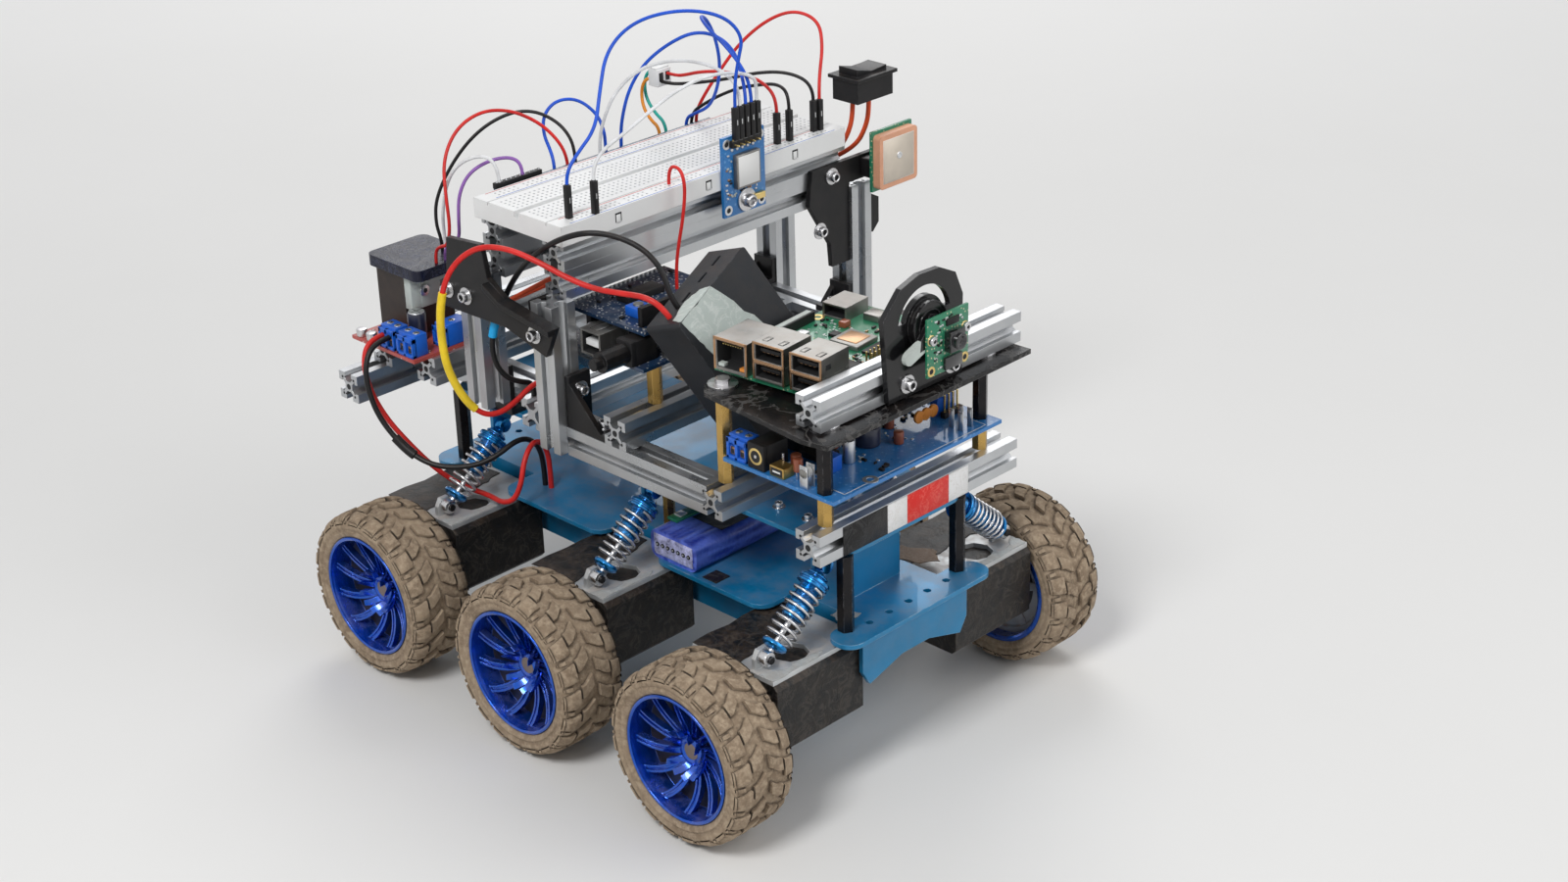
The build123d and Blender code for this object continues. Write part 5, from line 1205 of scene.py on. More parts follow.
def hang_wheels():
    """A tyre and a rim on each hub, mirrored across the rover and each turned a little differently."""
    tyre = make_tyre_mesh()
    rim = make_rim_mesh()
    for place, hub_x in AXLES:
        for side_name, side in SIDES:
            hub = on_chassis() @ Matrix.Translation((hub_x, side * WHEEL_MIDDLE, TYRE_RADIUS))
            if side > 0:
                hub = hub @ Matrix.Rotation(math.pi, 4, "Z")
            hub = hub @ Matrix.Rotation(math.radians(7.0 * (hub_x / 96.0) + 4.0), 4, "Y")
            body = f"wheel_{place}_{side_name}"
            for kind, mesh, slot in (("tyre", tyre, "tyre_rubber"), ("rim", rim, "rim_blue")):
                node = f"{kind}_{place}_{side_name}"
                piece(f"dusty_{node}", mesh.copy(), (node,), body, hub)
    bpy.data.meshes.remove(tyre)
    bpy.data.meshes.remove(rim)


# Dampers


DAMPER_TOP = (13, 37.0, 97.5)
DAMPER_FOOT = (13, 70.0, 70.5)


def damper_line(hub_x, side):
    """Middles of a damper's upper and lower eye."""
    return [Vector((hub_x + ahead, side * aside, level)) for ahead, aside, level in (DAMPER_TOP, DAMPER_FOOT)]


def fit_dampers():
    """Threaded blue body with its collars, silver coil, rod and eyes."""
    bodies = Shape()
    rods = Shape()
    coils = Shape()
    for _, hub_x in AXLES:
        for _, side in SIDES:
            top, foot = damper_line(hub_x, side)
            run = (foot - top).normalized()
            cross = Vector((2.0, 0, 0))
            thread = [(2.0, 3.0), (3.4, 3.6), (4.6, 5.0)]
            for n in range(12):
                thread += [(4.6, 5.4 + n * 0.95), (4.15, 5.85 + n * 0.95)]
            thread += [(4.6, 17.0), (4.3, 24.4), (3.2, 25.0)]
            bodies.turned(thread, top, run, "damper", sides=40, closed=False)
            collar = (
                (4.6, 6.6), (6.2, 6.6), (6.5, 7.0), (6.5, 7.9), (5.9, 8.2), (5.9, 8.8), (6.5, 9.1),
                (6.5, 9.9), (4.6, 10.1),
            )
            bodies.turned(collar, top, run, "damper cup", sides=40)
            bodies.rod(top - cross, top + cross, 3.2, "damper cup", sides=28, bevel=0.35)
            rods.rod(top + run * 24, foot, 1.15, "steel", sides=16)
            rods.turned(
                ((1.2, 7.2), (5.2, 6.9), (5.4, 6.4), (5.4, 5.6), (4.2, 4.6), (2.2, 4.0), (1.2, 4.0)),
                foot, -run, "damper cup", sides=40,
            )
            rods.rod(foot - cross, foot + cross, 3.1, "steel", sides=28, bevel=0.3)
            rods.rod(foot - cross * 1.6, foot + cross * 1.6, 1.6, "black anodised", sides=12)
            low, high = foot - run * 7.1, top + run * 10.0
            marks = bpy.data.meshes.new("coil seed")
            sizes = {"Turns": 7.6, "Radius": 5.75, "Height": (high - low).length - 1.2, "Wire Radius": 0.6}
            coil = grown(marks, COIL, {**sizes, "Finish": FINISHES["steel"]})
            axis = (high - low).to_track_quat("Z", "Y").to_matrix().to_4x4()
            coils.take(coil, "steel", Matrix.Translation(low + (high - low).normalized() * 0.6) @ axis)
            bpy.data.meshes.remove(coil)
    piece("damper_bodies", bodies, ("shock_bodies",))
    piece("damper_rods", rods, ("shock_rods",))
    piece("damper_coils", coils.to_mesh("damper coils", 60.0, False), ("shock_springs",))


# Small shapes that the fittings share


def open_housing(shape, x, y, z, wall, depth, finish_name):
    """A housing that opens towards -Y, hollow as deep as its socket, its back and inner walls lined with
    painted shade.
    """
    back = y[0] + depth
    inner_x, inner_z = (x[0] + wall, x[1] - wall), (z[0] + wall, z[1] - wall)
    shape.box(x, (back, y[1]), z, finish_name)
    for span in ((x[0], inner_x[0]), (inner_x[1], x[1])):
        shape.box(span, (y[0], back), z, finish_name)
    for span in ((z[0], inner_z[0]), (inner_z[1], z[1])):
        shape.box(inner_x, (y[0], back), span, finish_name)
    # Painted shade: thin near-black boxes line the back and the inner walls of the opening
    deep = (y[0] + 0.5, back)
    shape.box(inner_x, (back - 0.4, back), inner_z, "painted hole shade")
    for side in (inner_x[0], inner_x[1] - 0.12):
        shape.box((side, side + 0.12), deep, inner_z, "painted hole shade")
    for side in (inner_z[0], inner_z[1] - 0.12):
        shape.box(inner_x, deep, (side, side + 0.12), "painted hole shade")


def unit_block():
    """A block one across, standing on the origin, for small parts of any size."""
    shape = Shape()
    shape.box((-0.5, 0.5), (-0.5, 0.5), (0.0, 1.0), "chip")
    return shape.to_mesh("unit block")


def cap_screw_mesh():
    """Socket cap screw head on its washer, standing on the origin."""
    shape = Shape()
    washer = ((0.4, 0.0), (4.4, 0.0), (4.4, 0.7), (0.4, 0.7))
    head = (
        (0.02, 1.6), (1.45, 1.6), (1.5, 3.7), (1.9, 3.9), (2.5, 3.7), (2.75, 3.3), (2.75, 0.7), (0.02, 0.7),
    )
    for profile in (washer, head):
        shape.turned(profile, (0, 0, 0), (0, 0, 1), "steel", 20)
    return shape.to_mesh("cap screw")


def nut_mesh():
    """Hexagonal nut round the end of its bolt, standing on the origin."""
    shape = Shape()
    shape.turned(((0.3, 0.0), (3.6, 0.0), (3.6, 0.5), (0.3, 0.5)), (0, 0, 0), (0, 0, 1), "steel", 18)
    hexagon = ((1.3, 0.5), (2.6, 0.5), (3.0, 0.8), (3.0, 2.3), (2.6, 2.7), (1.3, 2.7))
    shape.turned(hexagon, (0, 0, 0), (0, 0, 1), "steel", 6)
    shape.rod((0, 0, 0.4), (0, 0, 3.6), 1.3, "steel", 12)
    return shape.to_mesh("nut")


def scatter(shape, seed, kinds, regions, level):
    """Small parts strewn over flat regions; kinds are (finish, count, longest, highest)."""
    draw = random.Random(seed)
    block = unit_block()
    for finish_name, count, longest, highest in kinds:
        places = []
        for _ in range(count):
            x0, x1, y0, y1 = draw.choice(regions)
            long = draw.uniform(0.5, 1.0) * longest
            wide = long * draw.uniform(0.45, 0.7)
            size = (long, wide, highest) if draw.random() < 0.5 else (wide, long, highest)
            places.append(((draw.uniform(x0, x1), draw.uniform(y0, y1), level), (0, 0, 1), size))
        shape.stamp(block, places, finish_name)


def pin_row(shape, start, pitch, count, size, finish_name="gold"):
    """A row of square pins across the rover, each standing on the row's line."""
    x, y, z = start
    places = [((x, y + n * pitch, z), (0, 0, 1), size) for n in range(count)]
    shape.stamp(unit_block(), places, finish_name)


def strew(shape, seed, count, regions, face, thickness, longest, half_height, finish_names):
    """Small parts on the face of a board that stands across the rover, each in a (y0, y1, z0, z1) region."""
    draw = random.Random(seed)
    for _ in range(count):
        spots = [(draw.uniform(y0, y1), draw.uniform(z0, z1)) for y0, y1, z0, z1 in regions]
        y, z = draw.choice(spots)
        size = draw.uniform(0.3, longest)
        spans = ((face, face + thickness), (y - size, y + size), (z - half_height, z + half_height))
        shape.box(*spans, draw.choice(finish_names))


def torn_outline(corners, seed, roughness, pieces=5):
    """An outline whose edges are torn: each edge broken into short, slightly stray lengths."""
    draw = random.Random(seed)
    torn = []
    for n, corner in enumerate(corners):
        after = corners[(n + 1) % len(corners)]
        for k in range(pieces):
            t = k / pieces
            stray = 0.0 if k == 0 else roughness
            torn.append(
                tuple(a + (b - a) * t + draw.uniform(-stray, stray) for a, b in zip(corner, after))
            )
    return torn


def sheet_of(shape, outline, level, thickness, finish_name):
    """Thin flat sheet on a level, its outline seen from above."""
    shape.plate([(x, y, level) for x, y in outline], (0, 0, 1), thickness, finish_name)


# Control board and computer board

CONTROL_TOP = 131.0
COMPUTER_PLACE = Matrix.Translation((51.0, -36.0, 163.0)) @ Matrix.Rotation(math.radians(6.0), 4, "Z")


def terminal(shape, x, y, z, openings):
    """Blue screw terminal with copper-lined mouths towards -Y and a slotted screw over each."""
    shape.box(x, (y[0] + 1.6, y[1]), (z[0], z[1]), "blue plastic", 0.35)
    shape.box(x, (y[0], y[0] + 2.4), (z[0], z[0] + 1.4), "blue plastic", 0.2)
    shape.box(x, (y[0], y[0] + 2.4), (z[1] - 3.2, z[1] - 1.0), "blue plastic", 0.2)
    width = (x[1] - x[0]) / openings
    for n in range(openings + 1):
        wall = x[0] + n * width
        low = max(x[0], wall - 0.7)
        shape.box((low, min(x[1], low + 1.4)), (y[0], y[0] + 2.4), (z[0], z[1] - 1.0), "blue plastic", 0.15)
    for n in range(openings):
        middle = x[0] + (n + 0.5) * width
        shape.box(
            (middle - 1.3, middle + 1.3), (y[0] + 1.0, y[0] + 1.8), (z[0] + 1.6, z[0] + 4.8), "copper", 0.1,
        )
        # Painted shade: a dark mark inside each mouth
        shape.box(
            (middle - 0.8, middle + 0.8), (y[0] + 0.9, y[0] + 1.3), (z[0] + 2.3, z[0] + 4.1), "painted hole shade",
        )
        top = (middle, (y[0] + 1.6 + y[1]) / 2, z[1] - 0.5)
        shape.rod(top, (top[0], top[1], z[1] + 0.15), 1.5, "steel", 16, bevel=0.12)
        # Painted shade: a dark strip for each screw's slot
        shape.box(
            (middle - 1.3, middle + 1.3), (top[1] - 0.22, top[1] + 0.22), (z[1] + 0.1, z[1] + 0.2),
            "painted hole shade",
        )


def fit_control_board():
    """Terminal, sockets, capacitors, headers and small parts of the lower board."""
    shape = Shape()
    z = CONTROL_TOP
    terminal(shape, (63.0, 73.5), (-43.0, -35.0), (z, z + 10), 2)
    shape.boxes((
        (75, 84, -41.5, -30, 0, 10.6, "chip", 0.5), (75, 84, -43.5, -41.2, 0, 11, "chip", 0.5),
        # The dark box in the brass socket's mouth is painted shade
        (86.5, 94, -43, -37, 0, 4.5, "brass", 0.3), (87.2, 93.3, -43.1, -42.6, 0.8, 3.8, "painted hole shade", 0),
        (88.2, 92.3, -43.15, -42.7, 1.9, 2.7, "white plastic", 0.1),
        (86.8, 87.8, -36.8, -36, 0, 7.0, "steel", 0.1), (84, 96, -24, -14, 0.4, 3, "chip", 0.25),
        (70, 84, -22, -6, 0, 12, "chip", 0.5), (66.2, 68.8, 0, 40, 0, 2.5, "chip", 0.15),
        (98, 104, -28, -21, 0, 6.4, "blue plastic", 0.3), (96, 100, 39, 50, 0, 7.6, "blue plastic", 0.3),
        (101.6, 104.1, 39, 50, 0, 2.5, "chip", 0.15),
    ), z)
    shape.turned(
        ((2.4, 0), (3.5, 0), (3.5, 0.25), (2.4, 0.25)), (79.5, -43.55, z + 5.6), (0, 1, 0), "gold", 28,
    )
    # Painted shade: a dark disc fills the round jack's opening
    shape.rod((79.5, -43.58, z + 5.6), (79.5, -43.3, z + 5.6), 2.5, "painted hole shade", 28)
    shape.rod((79.5, -43.7, z + 5.6), (79.5, -43.2, z + 5.6), 0.7, "steel", 12)
    shape.posts((
        (97.5, -38.5, 3.4, 9.0, 1.9, "rust capacitor", 20, 0.6), (97.5, -39.4, 0, 4, 0.3, "steel", 8, 0),
        (97.5, -37.6, 0, 4, 0.3, "steel", 8, 0), (99.6, -26.2, 6.0, 7.0, 1.1, "brass", 16, 0.15),
        (96, 2, 0, 8, 5.2, "capacitor", 32, 0.7), (96, 2, 7.4, 8.1, 4.5, "solder", 32, 0.2),
        (101.6, -14.5, 0, 9.5, 2.4, "solder", 24, 0.4),
    ), z)
    for y in (-43.0, -39.3):
        shape.box((102.4, 106.6), (y, y + 0.5), (z, z + 9.4), "solder", 0.15)
        shape.box((103.2, 105.8), (y - 0.35, y + 0.1), (z + 4.5, z + 8.8), "solder", 0.3)
    shape.rod((104.5, -43.4, z + 6.4), (104.5, -38.6, z + 6.4), 2.0, "socket metal", 20, bevel=0.4)
    shape.rod((104.5, -42.2, z + 6.4), (104.5, -39.8, z + 6.4), 2.1, "label", 20)
    pin_row(shape, (67.5, 1.3, z + 2.4), 2.54, 16, (0.64, 0.64, 6.6))
    for y in (8.5, 17.5, 26.5):
        shape.box((76.8, 83.2), (y, y + 7), (z + 0.5, z + 4), "chip", 0.2)
        pin_row(shape, (76.4, y + 0.8, z), 1.8, 4, (0.5, 0.7, 2.4), "solder")
        pin_row(shape, (83.6, y + 0.8, z), 1.8, 4, (0.5, 0.7, 2.4), "solder")
    for x in (109.4, 114.2):
        for y in (35.0, 40.6):
            shape.box((x, x + 2.6), (y, y + 0.5), (z, z + 8.2), "solder", 0.15)
            shape.box((x + 0.3, x + 2.3), (y - 0.5, y + 0.1), (z + 3.6, z + 7.6), "solder", 0.35)
    for y in (26.4, 30.6, 34.8):
        shape.rod((100.6, y, z + 4.6), (102.0, y, z + 4.6), 2.7, "orange disc", 20, bevel=0.4)
    pin_row(shape, (102.8, 40.2, z + 2.4), 2.54, 4, (0.64, 0.64, 7.4))
    for place in ((88.5, -9.5), (104.8, 10.5), (92.5, 18.5), (89, -31)):
        shape.rod((*place, z), (*place, z + 5.4), 2.1, "rust capacitor", 20, bevel=0.5)
    regions = (
        (64, 74, -33, -24), (86, 106, -36, -29), (84, 118, -12, -5), (86, 108, 12, 24), (85, 95, 26, 50),
        (64, 75, 42, 52),
    )
    kinds = (
        ("chip", 34, 2.4, 0.9), ("solder", 60, 1.3, 0.35), ("pale tab", 18, 1.6, 0.7),
        ("copper", 14, 1.8, 0.6),
    )
    scatter(shape, 4, kinds, regions, z)
    for x, y in ((64.5, 50.5), (118.2, -20.5)):
        shape.ring((x, y, z), 1.6, 3.2, 0.15, "solder")
    for x0, x1, y0, y1 in ((107.2, 119.4, -36.2, -36.2), (119.4, 119.4, -36.2, 46), (106.6, 119.4, 46, 46)):
        shape.box((x0 - 0.2, x1 + 0.2), (y0 - 0.2, y1 + 0.2), (z, z + 0.06), "label")
    piece("control_fittings", shape, ("control_parts",))


def fit_computer_board():
    """Network and USB sockets, chips, headers and small parts of the green board, from its own corner."""
    shape = Shape()
    open_housing(shape, (0, 16), (0, 21), (0, 13.5), 1.2, 9, "socket metal")
    for n in range(8):
        shape.box((3.4 + n * 1.22, 3.9 + n * 1.22), (1.2, 8.4), (10.6, 11.0), "gold")
    shape.boxes((
        (1.2, 4.2, 0.6, 3.2, 1.2, 2.6, "pale tab", 0.2),
        (11.8, 14.8, 0.6, 3.2, 1.2, 2.6, "orange disc", 0.2),
        (-0.1, 16.1, -0.3, 0.2, 12.5, 13.7, "copper", 0.15),
        (-0.3, 0.7, -0.3, 0.2, 0, 13.7, "copper", 0.15), (15.3, 16.3, -0.3, 0.2, 0, 13.7, "copper", 0.15),
        (36, 46, 24, 34, 0.3, 1.6, "chip", 0.2), (22, 36, 44, 58, 0, 2.2, "socket metal", 0.5),
        (24.2, 33.8, 46.2, 55.8, 2.1, 2.5, "copper", 0.15), (38, 48, 44, 56, 0, 1.2, "chip", 0.2),
        (49.7, 53.3, 30, 80, 0, 2.5, "chip", 0.15), (-1, 3, 24, 60, 0, 4.2, "chip", 0.3),
        (-0.2, 2.2, 25.5, 58.5, 4.1, 4.5, "pale tab", 0.1), (18, 26, 72, 79, 0, 3.0, "socket metal", 0.3),
        (6, 14, 26, 34, 0, 1.3, "chip", 0.2), (8, 12.5, 40, 44.5, 0, 3.2, "solder", 0.4),
        (14.5, 18.0, 60, 64, 0, 2.6, "rust capacitor", 0.4),
    ))
    for x0, x1 in ((19.5, 34.0), (37.5, 52.0)):
        open_housing(shape, (x0, x1), (0, 17.5), (0.8, 8.0), 0.9, 9, "socket metal")
        open_housing(shape, (x0, x1), (0, 17.5), (8.2, 16.0), 0.9, 9, "socket metal")
        for z in (3.6, 11.4):
            shape.box((x0 + 2.4, x1 - 2.4), (1.2, 8.4), (z + 0.8, z + 2.4), "chip", 0.2)
            for n in range(4):
                shape.box((x0 + 3.6 + 2.1 * n, x0 + 4.8 + 2.1 * n), (1.3, 7.5), (z + 0.6, z + 0.82), "copper")
        shape.box((x0 - 0.3, x1 + 0.3), (-0.35, 0.25), (7.3, 8.9), "copper", 0.15)
        shape.box((x0 - 0.35, x0 + 0.5), (-0.35, 0.25), (0.6, 16.0), "copper", 0.15)
        shape.box((x1 - 0.5, x1 + 0.35), (-0.35, 0.25), (0.6, 16.0), "copper", 0.15)
        shape.box((x0 - 0.3, x1 + 0.3), (-0.35, 0.25), (15.3, 16.2), "copper", 0.15)
        # Painted shade: dark marks fill the latch windows on top
        for x in (x0 + 3.4, x1 - 3.4):
            shape.box((x - 1.3, x + 1.3), (3.0, 7.2), (15.95, 16.06), "painted hole shade")
            shape.box((x - 0.9, x + 0.9), (3.0, 6.8), (15.9, 16.25), "socket metal", 0.1)
        # Painted shade: dark marks fill the holes in the sides
        for x in (x0 - 0.05, x1 - 0.06):
            shape.box((x, x + 0.11), (3.0, 6.2), (4.0, 6.4), "painted hole shade")
            shape.box((x, x + 0.11), (3.0, 6.2), (10.8, 13.0), "painted hole shade")
    for n in range(10):
        for y in (23.2, 34.0):
            shape.box((36.7 + n * 0.92, 37.1 + n * 0.92), (y, y + 0.9), (0, 0.5), "solder")
    pin_row(shape, (50.25, 31.0, 2.4), 2.54, 20, (0.6, 0.6, 6.0))
    pin_row(shape, (52.75, 31.0, 2.4), 2.54, 20, (0.6, 0.6, 6.0))
    open_housing(shape, (2, 14), (66, 81), (0, 6), 0.7, 6, "socket metal")
    for x, y in ((5.5, 24.2), (47.0, 19.8), (31.0, 38.5), (17.6, 26.4), (28.0, 30.5)):
        shape.rod((x, y, 0), (x, y, 2.8), 1.7, "solder", 20, bevel=0.3)
    for x, y in ((44, 62), (33, 64), (17, 50)):
        shape.box((x, x + 4), (y, y + 4), (0, 1.4), "chip", 0.2)
        shape.box((x + 4.6, x + 6.4), (y, y + 3.2), (0, 1.2), "pale tab", 0.1)
    regions = ((5, 34, 23, 43), (5, 21, 44, 64), (37, 48, 36, 43), (26, 48, 60, 80), (40, 53, 18, 23.5))
    kinds = (
        ("chip", 44, 2.0, 0.8), ("solder", 90, 1.1, 0.35), ("pale tab", 46, 1.4, 0.6),
        ("gold", 24, 0.8, 0.12), ("copper", 16, 1.6, 0.7), ("label", 16, 1.6, 0.08),
    )
    scatter(shape, 9, kinds, regions, 0.0)
    for x, y in ((1.6, 63.5), (45.8, 82.0), (1.8, 82.2)):
        shape.ring((x, y, 0), 1.3, 2.9, 0.12, "gold")
    place = on_chassis() @ COMPUTER_PLACE
    piece("computer_fittings", shape, ("computer_ports",), place=place)


def fit_controller():
    """Sockets, pins and parts on the controller, its add-on board and the upright rear board."""
    shape = Shape()
    z = 148.6
    shape.boxes((
        (-6.4, 2.6, -33.5, -22, 0, 10.6, "chip", 0.4), (-6.4, 2.6, -36, -33, 0, 11, "chip", 0.5),
        (-23.3, -15.7, -37.5, -33, 4.0, 6.6, "white plastic", 0.2),
        # The dark box in the socket's slot is painted shade
        (-22.2, -16.8, -36, -27, 10.9, 11.0, "painted hole shade", 0),
        (-21.6, -17.4, -36, -28, 10.85, 11.15, "socket metal", 0.1),
        (0.5, 3.5, -14, 24, 0, 8.5, "chip", 0.2), (-43, -40, -20, 24, 0, 8.5, "chip", 0.2),
        (-24, -14, -6, 24, 0.5, 3.5, "chip", 0.25),
    ), z)
    open_housing(shape, (-25.5, -13.5), (-38.5, -22.5), (z, z + 10.9), 0.8, 6, "socket metal")
    pin_row(shape, (2.0, -12.8, z + 8.4), 2.54, 15, (0.6, 0.6, 4.4), "solder")
    pin_row(shape, (-41.5, -18.8, z + 8.4), 2.54, 17, (0.6, 0.6, 4.4), "solder")
    pin_row(shape, (-24.5, -5, z), 2.3, 12, (0.5, 0.8, 2.0), "solder")
    pin_row(shape, (-13.5, -5, z), 2.3, 12, (0.5, 0.8, 2.0), "solder")
    for place in ((-33, -24), (-8, -14), (-33, 12)):
        shape.rod((*place, z), (*place, z + 6), 3.2, "solder", 28, bevel=0.5)
    top = 162.6
    pin_row(shape, (2.2, -28, top), 2.54, 21, (1.2, 1.2, 0.7), "solder")
    pin_row(shape, (-42.4, -26, top), 2.54, 20, (1.2, 1.2, 0.7), "solder")
    shape.boxes((
        (-2.6, -0.2, -27, 12, 0, 8.4, "chip", 0.2), (-30, -22, -14, 6, 0, 3, "chip", 0.25),
        (-16, -8, -22, -14, 0, 4.2, "blue plastic", 0.4),
    ), top)
    shape.rod((-12, -18, top + 4), (-12, -18, top + 5.0), 2.2, "socket metal", 20, bevel=0.2)
    shape.box((3.0, 6.8), (20, 30), (z, z + 5.0), "blue plastic", 0.3)
    shape.box((3.4, 6.2), (-20.5, -15), (z, z + 4.5), "socket metal", 0.3)
    kinds = (("chip", 26, 2.2, 0.8), ("solder", 60, 1.2, 0.35), ("pale tab", 20, 1.5, 0.6))
    scatter(shape, 21, kinds, ((-38, 0, -30, -7), (-38, -26, -6, 30), (-12, 2, 0, 32)), z)
    kinds = (("chip", 16, 2.2, 0.8), ("solder", 90, 1.0, 0.3), ("pale tab", 12, 1.5, 0.6))
    scatter(shape, 22, kinds, ((-38, -4, -28, 24),), top)
    back, level = -84.1, 203.5
    shape.box((-84.6, -82.0), (-31, -6), (level, level + 2.5), "chip", 0.2)
    pin_row(shape, (-83.3, -29.8, level + 2.4), 2.54, 10, (0.6, 0.6, 0.8), "solder")
    shape.box((-89.1, back), (2, 94), (183, 186), "chip", 0.15)
    # Painted shade: flat dark squares for the header's holes
    pin_row(shape, (-86.6, 3.3, 186), 2.54, 36, (1.5, 1.5, 0.06), "painted hole shade")
    shape.box((-82.5, -79.7), (0, 12), (185, 193), "socket metal", 0.2)
    for y in range(-26, 92, 9):
        shape.box((-82.5, -81.6), (y, y + 4.6), (187, 199), "chip", 0.2)
        shape.box((-85.0, back), (y + 1, y + 5.6), (190, 199), "chip", 0.2)
    for y in (-28.0, 91.0):
        shape.ring((-82.5, y, 199.5), 1.4, 2.9, 0.12, "solder", (1, 0, 0))
        shape.ring((back, y, 199.5), 1.4, 2.9, 0.12, "solder", (-1, 0, 0))
    piece("controller_fittings", shape, ("controller_parts",))


# Breadboard

BREAD_TOP = 205.5
BREAD_MIDDLE = (-50.9, 36.05)
BREAD_PITCH = 2.54


def mark_breadboard():
    """Contact holes in rows of five as flat grey squares of painted shade, the power strips' rules, and the
    notches in the edges, lined with painted shade.
    """
    shape = Shape()
    hole = Shape()
    # Each contact hole is a flat grey square of painted shade on the top, not an opening
    hole.box((-0.42, 0.42), (-0.42, 0.42), (0.0, 0.03), "painted contact hole shade")
    places = []
    for row in range(63):
        y = BREAD_MIDDLE[1] + (row - 31) * BREAD_PITCH
        for column in range(5):
            for side in (-1, 1):
                x = BREAD_MIDDLE[0] + side * (3.81 + column * BREAD_PITCH)
                places.append(((x, y, BREAD_TOP), (0, 0, 1), 1.0))
    for row in range(59):
        if row % 6 == 5:
            continue
        y = BREAD_MIDDLE[1] + (row - 29) * BREAD_PITCH
        for aside in (21.43, 23.97):
            for side in (-1, 1):
                places.append(((BREAD_MIDDLE[0] + side * aside, y, BREAD_TOP), (0, 0, 1), 1.0))
    shape.stamp(hole.to_mesh("painted contact hole shade"), places, "painted contact hole shade")
    y = (BREAD_MIDDLE[1] - 77, BREAD_MIDDLE[1] + 77)
    for aside, finish_name in (
        (19.3, "line red"), (26.3, "line blue"), (-19.3, "line blue"), (-26.3, "line red"),
    ):
        x = BREAD_MIDDLE[0] + aside
        shape.box((x - 0.22, x + 0.22), y, (BREAD_TOP, BREAD_TOP + 0.03), finish_name)
    for step in (-52, -1, 51):
        y = BREAD_MIDDLE[1] + step
        # Painted shade: a dark box lines each notch
        shape.box((-23.75, -23.55), (y - 1.7, y + 1.7), (199.4, 203.4), "painted hole shade")
        shape.box((-23.62, -23.5), (y - 1.2, y + 1.2), (199.0, 202.6), "white plastic", 0.04)
    piece("breadboard_holes", shape)


# Fittings on the frame


def tube(shape, points, radius, finish_name):
    """Closed tube along points read from a wire's own line."""
    sides = 14
    points = [Vector(point) for point in points]
    rings = []
    aside = None
    for n, point in enumerate(points):
        run = (points[min(n + 1, len(points) - 1)] - points[max(n - 1, 0)]).normalized()
        if aside is None:
            aside = run.orthogonal().normalized()
        aside = (aside - run * aside.dot(run)).normalized()
        other = run.cross(aside)
        ring = []
        for k in range(sides):
            angle = 2 * math.pi * k / sides
            ring.append(
                shape.mesh.verts.new(point + (aside * math.cos(angle) + other * math.sin(angle)) * radius),
            )
        rings.append(ring)
    for low, high in zip(rings, rings[1:]):
        for k in range(sides):
            after = (k + 1) % sides
            shape.mesh.faces.new((low[k], low[after], high[after], high[k]))
    shape.mesh.faces.new(list(reversed(rings[0])))
    shape.mesh.faces.new(rings[-1])
    shape.paint([vert for ring in rings for vert in ring], finish_name)


def line_of(body):
    """Points along a wire's line, in chassis millimetres, as its spline gives them."""
    bare = body.copy()
    bare.data = body.data.copy()
    bare.data.bevel_depth = 0.0
    bpy.context.scene.collection.objects.link(bare)
    bpy.context.view_layer.update()
    mesh = bpy.data.meshes.new_from_object(bare.evaluated_get(bpy.context.evaluated_depsgraph_get()))
    back = on_chassis().inverted()
    points = [back @ vert.co for vert in mesh.vertices]
    curve = bare.data
    bpy.data.objects.remove(bare)
    bpy.data.curves.remove(curve)
    bpy.data.meshes.remove(mesh)
    return points


# wire, name of the sleeve, finish, from where, to where, radius in mm
SLEEVES = (
    ("case_lead_red", "yellow_sleeve", "yellow sleeve", (-68.9, -74, 173.9), (-62.9, -68.1, 120.1), 1.75),
    ("case_lead_black", "sky_blue_sleeve", "sky sleeve", (-61.5, -48.3, 164.4), (-67.2, -51.9, 147.3), 1.9),
    ("driver_lead_black", "wrap_on_black_lead", "black wire", (-103.5, -79.5, 100), (-95, -76.5, 93), 2.1),
)


def make_sleeves(body, wire_name):
    """The sleeves on a wire, each a tube along the wire's own line."""
    sleeves = []
    for owner, name, finish_name, begin, end, radius in SLEEVES:
        if owner != wire_name:
            continue
        points = line_of(body)
        first = min(range(len(points)), key=lambda n: (points[n] - Vector(begin)).length)
        last = min(range(len(points)), key=lambda n: (points[n] - Vector(end)).length)
        first, last = sorted((first, last))
        shape = Shape()
        tube(shape, points[first : last + 1], radius, finish_name)
        sleeves.append(piece(name, shape.to_mesh(name)))
    return sleeves


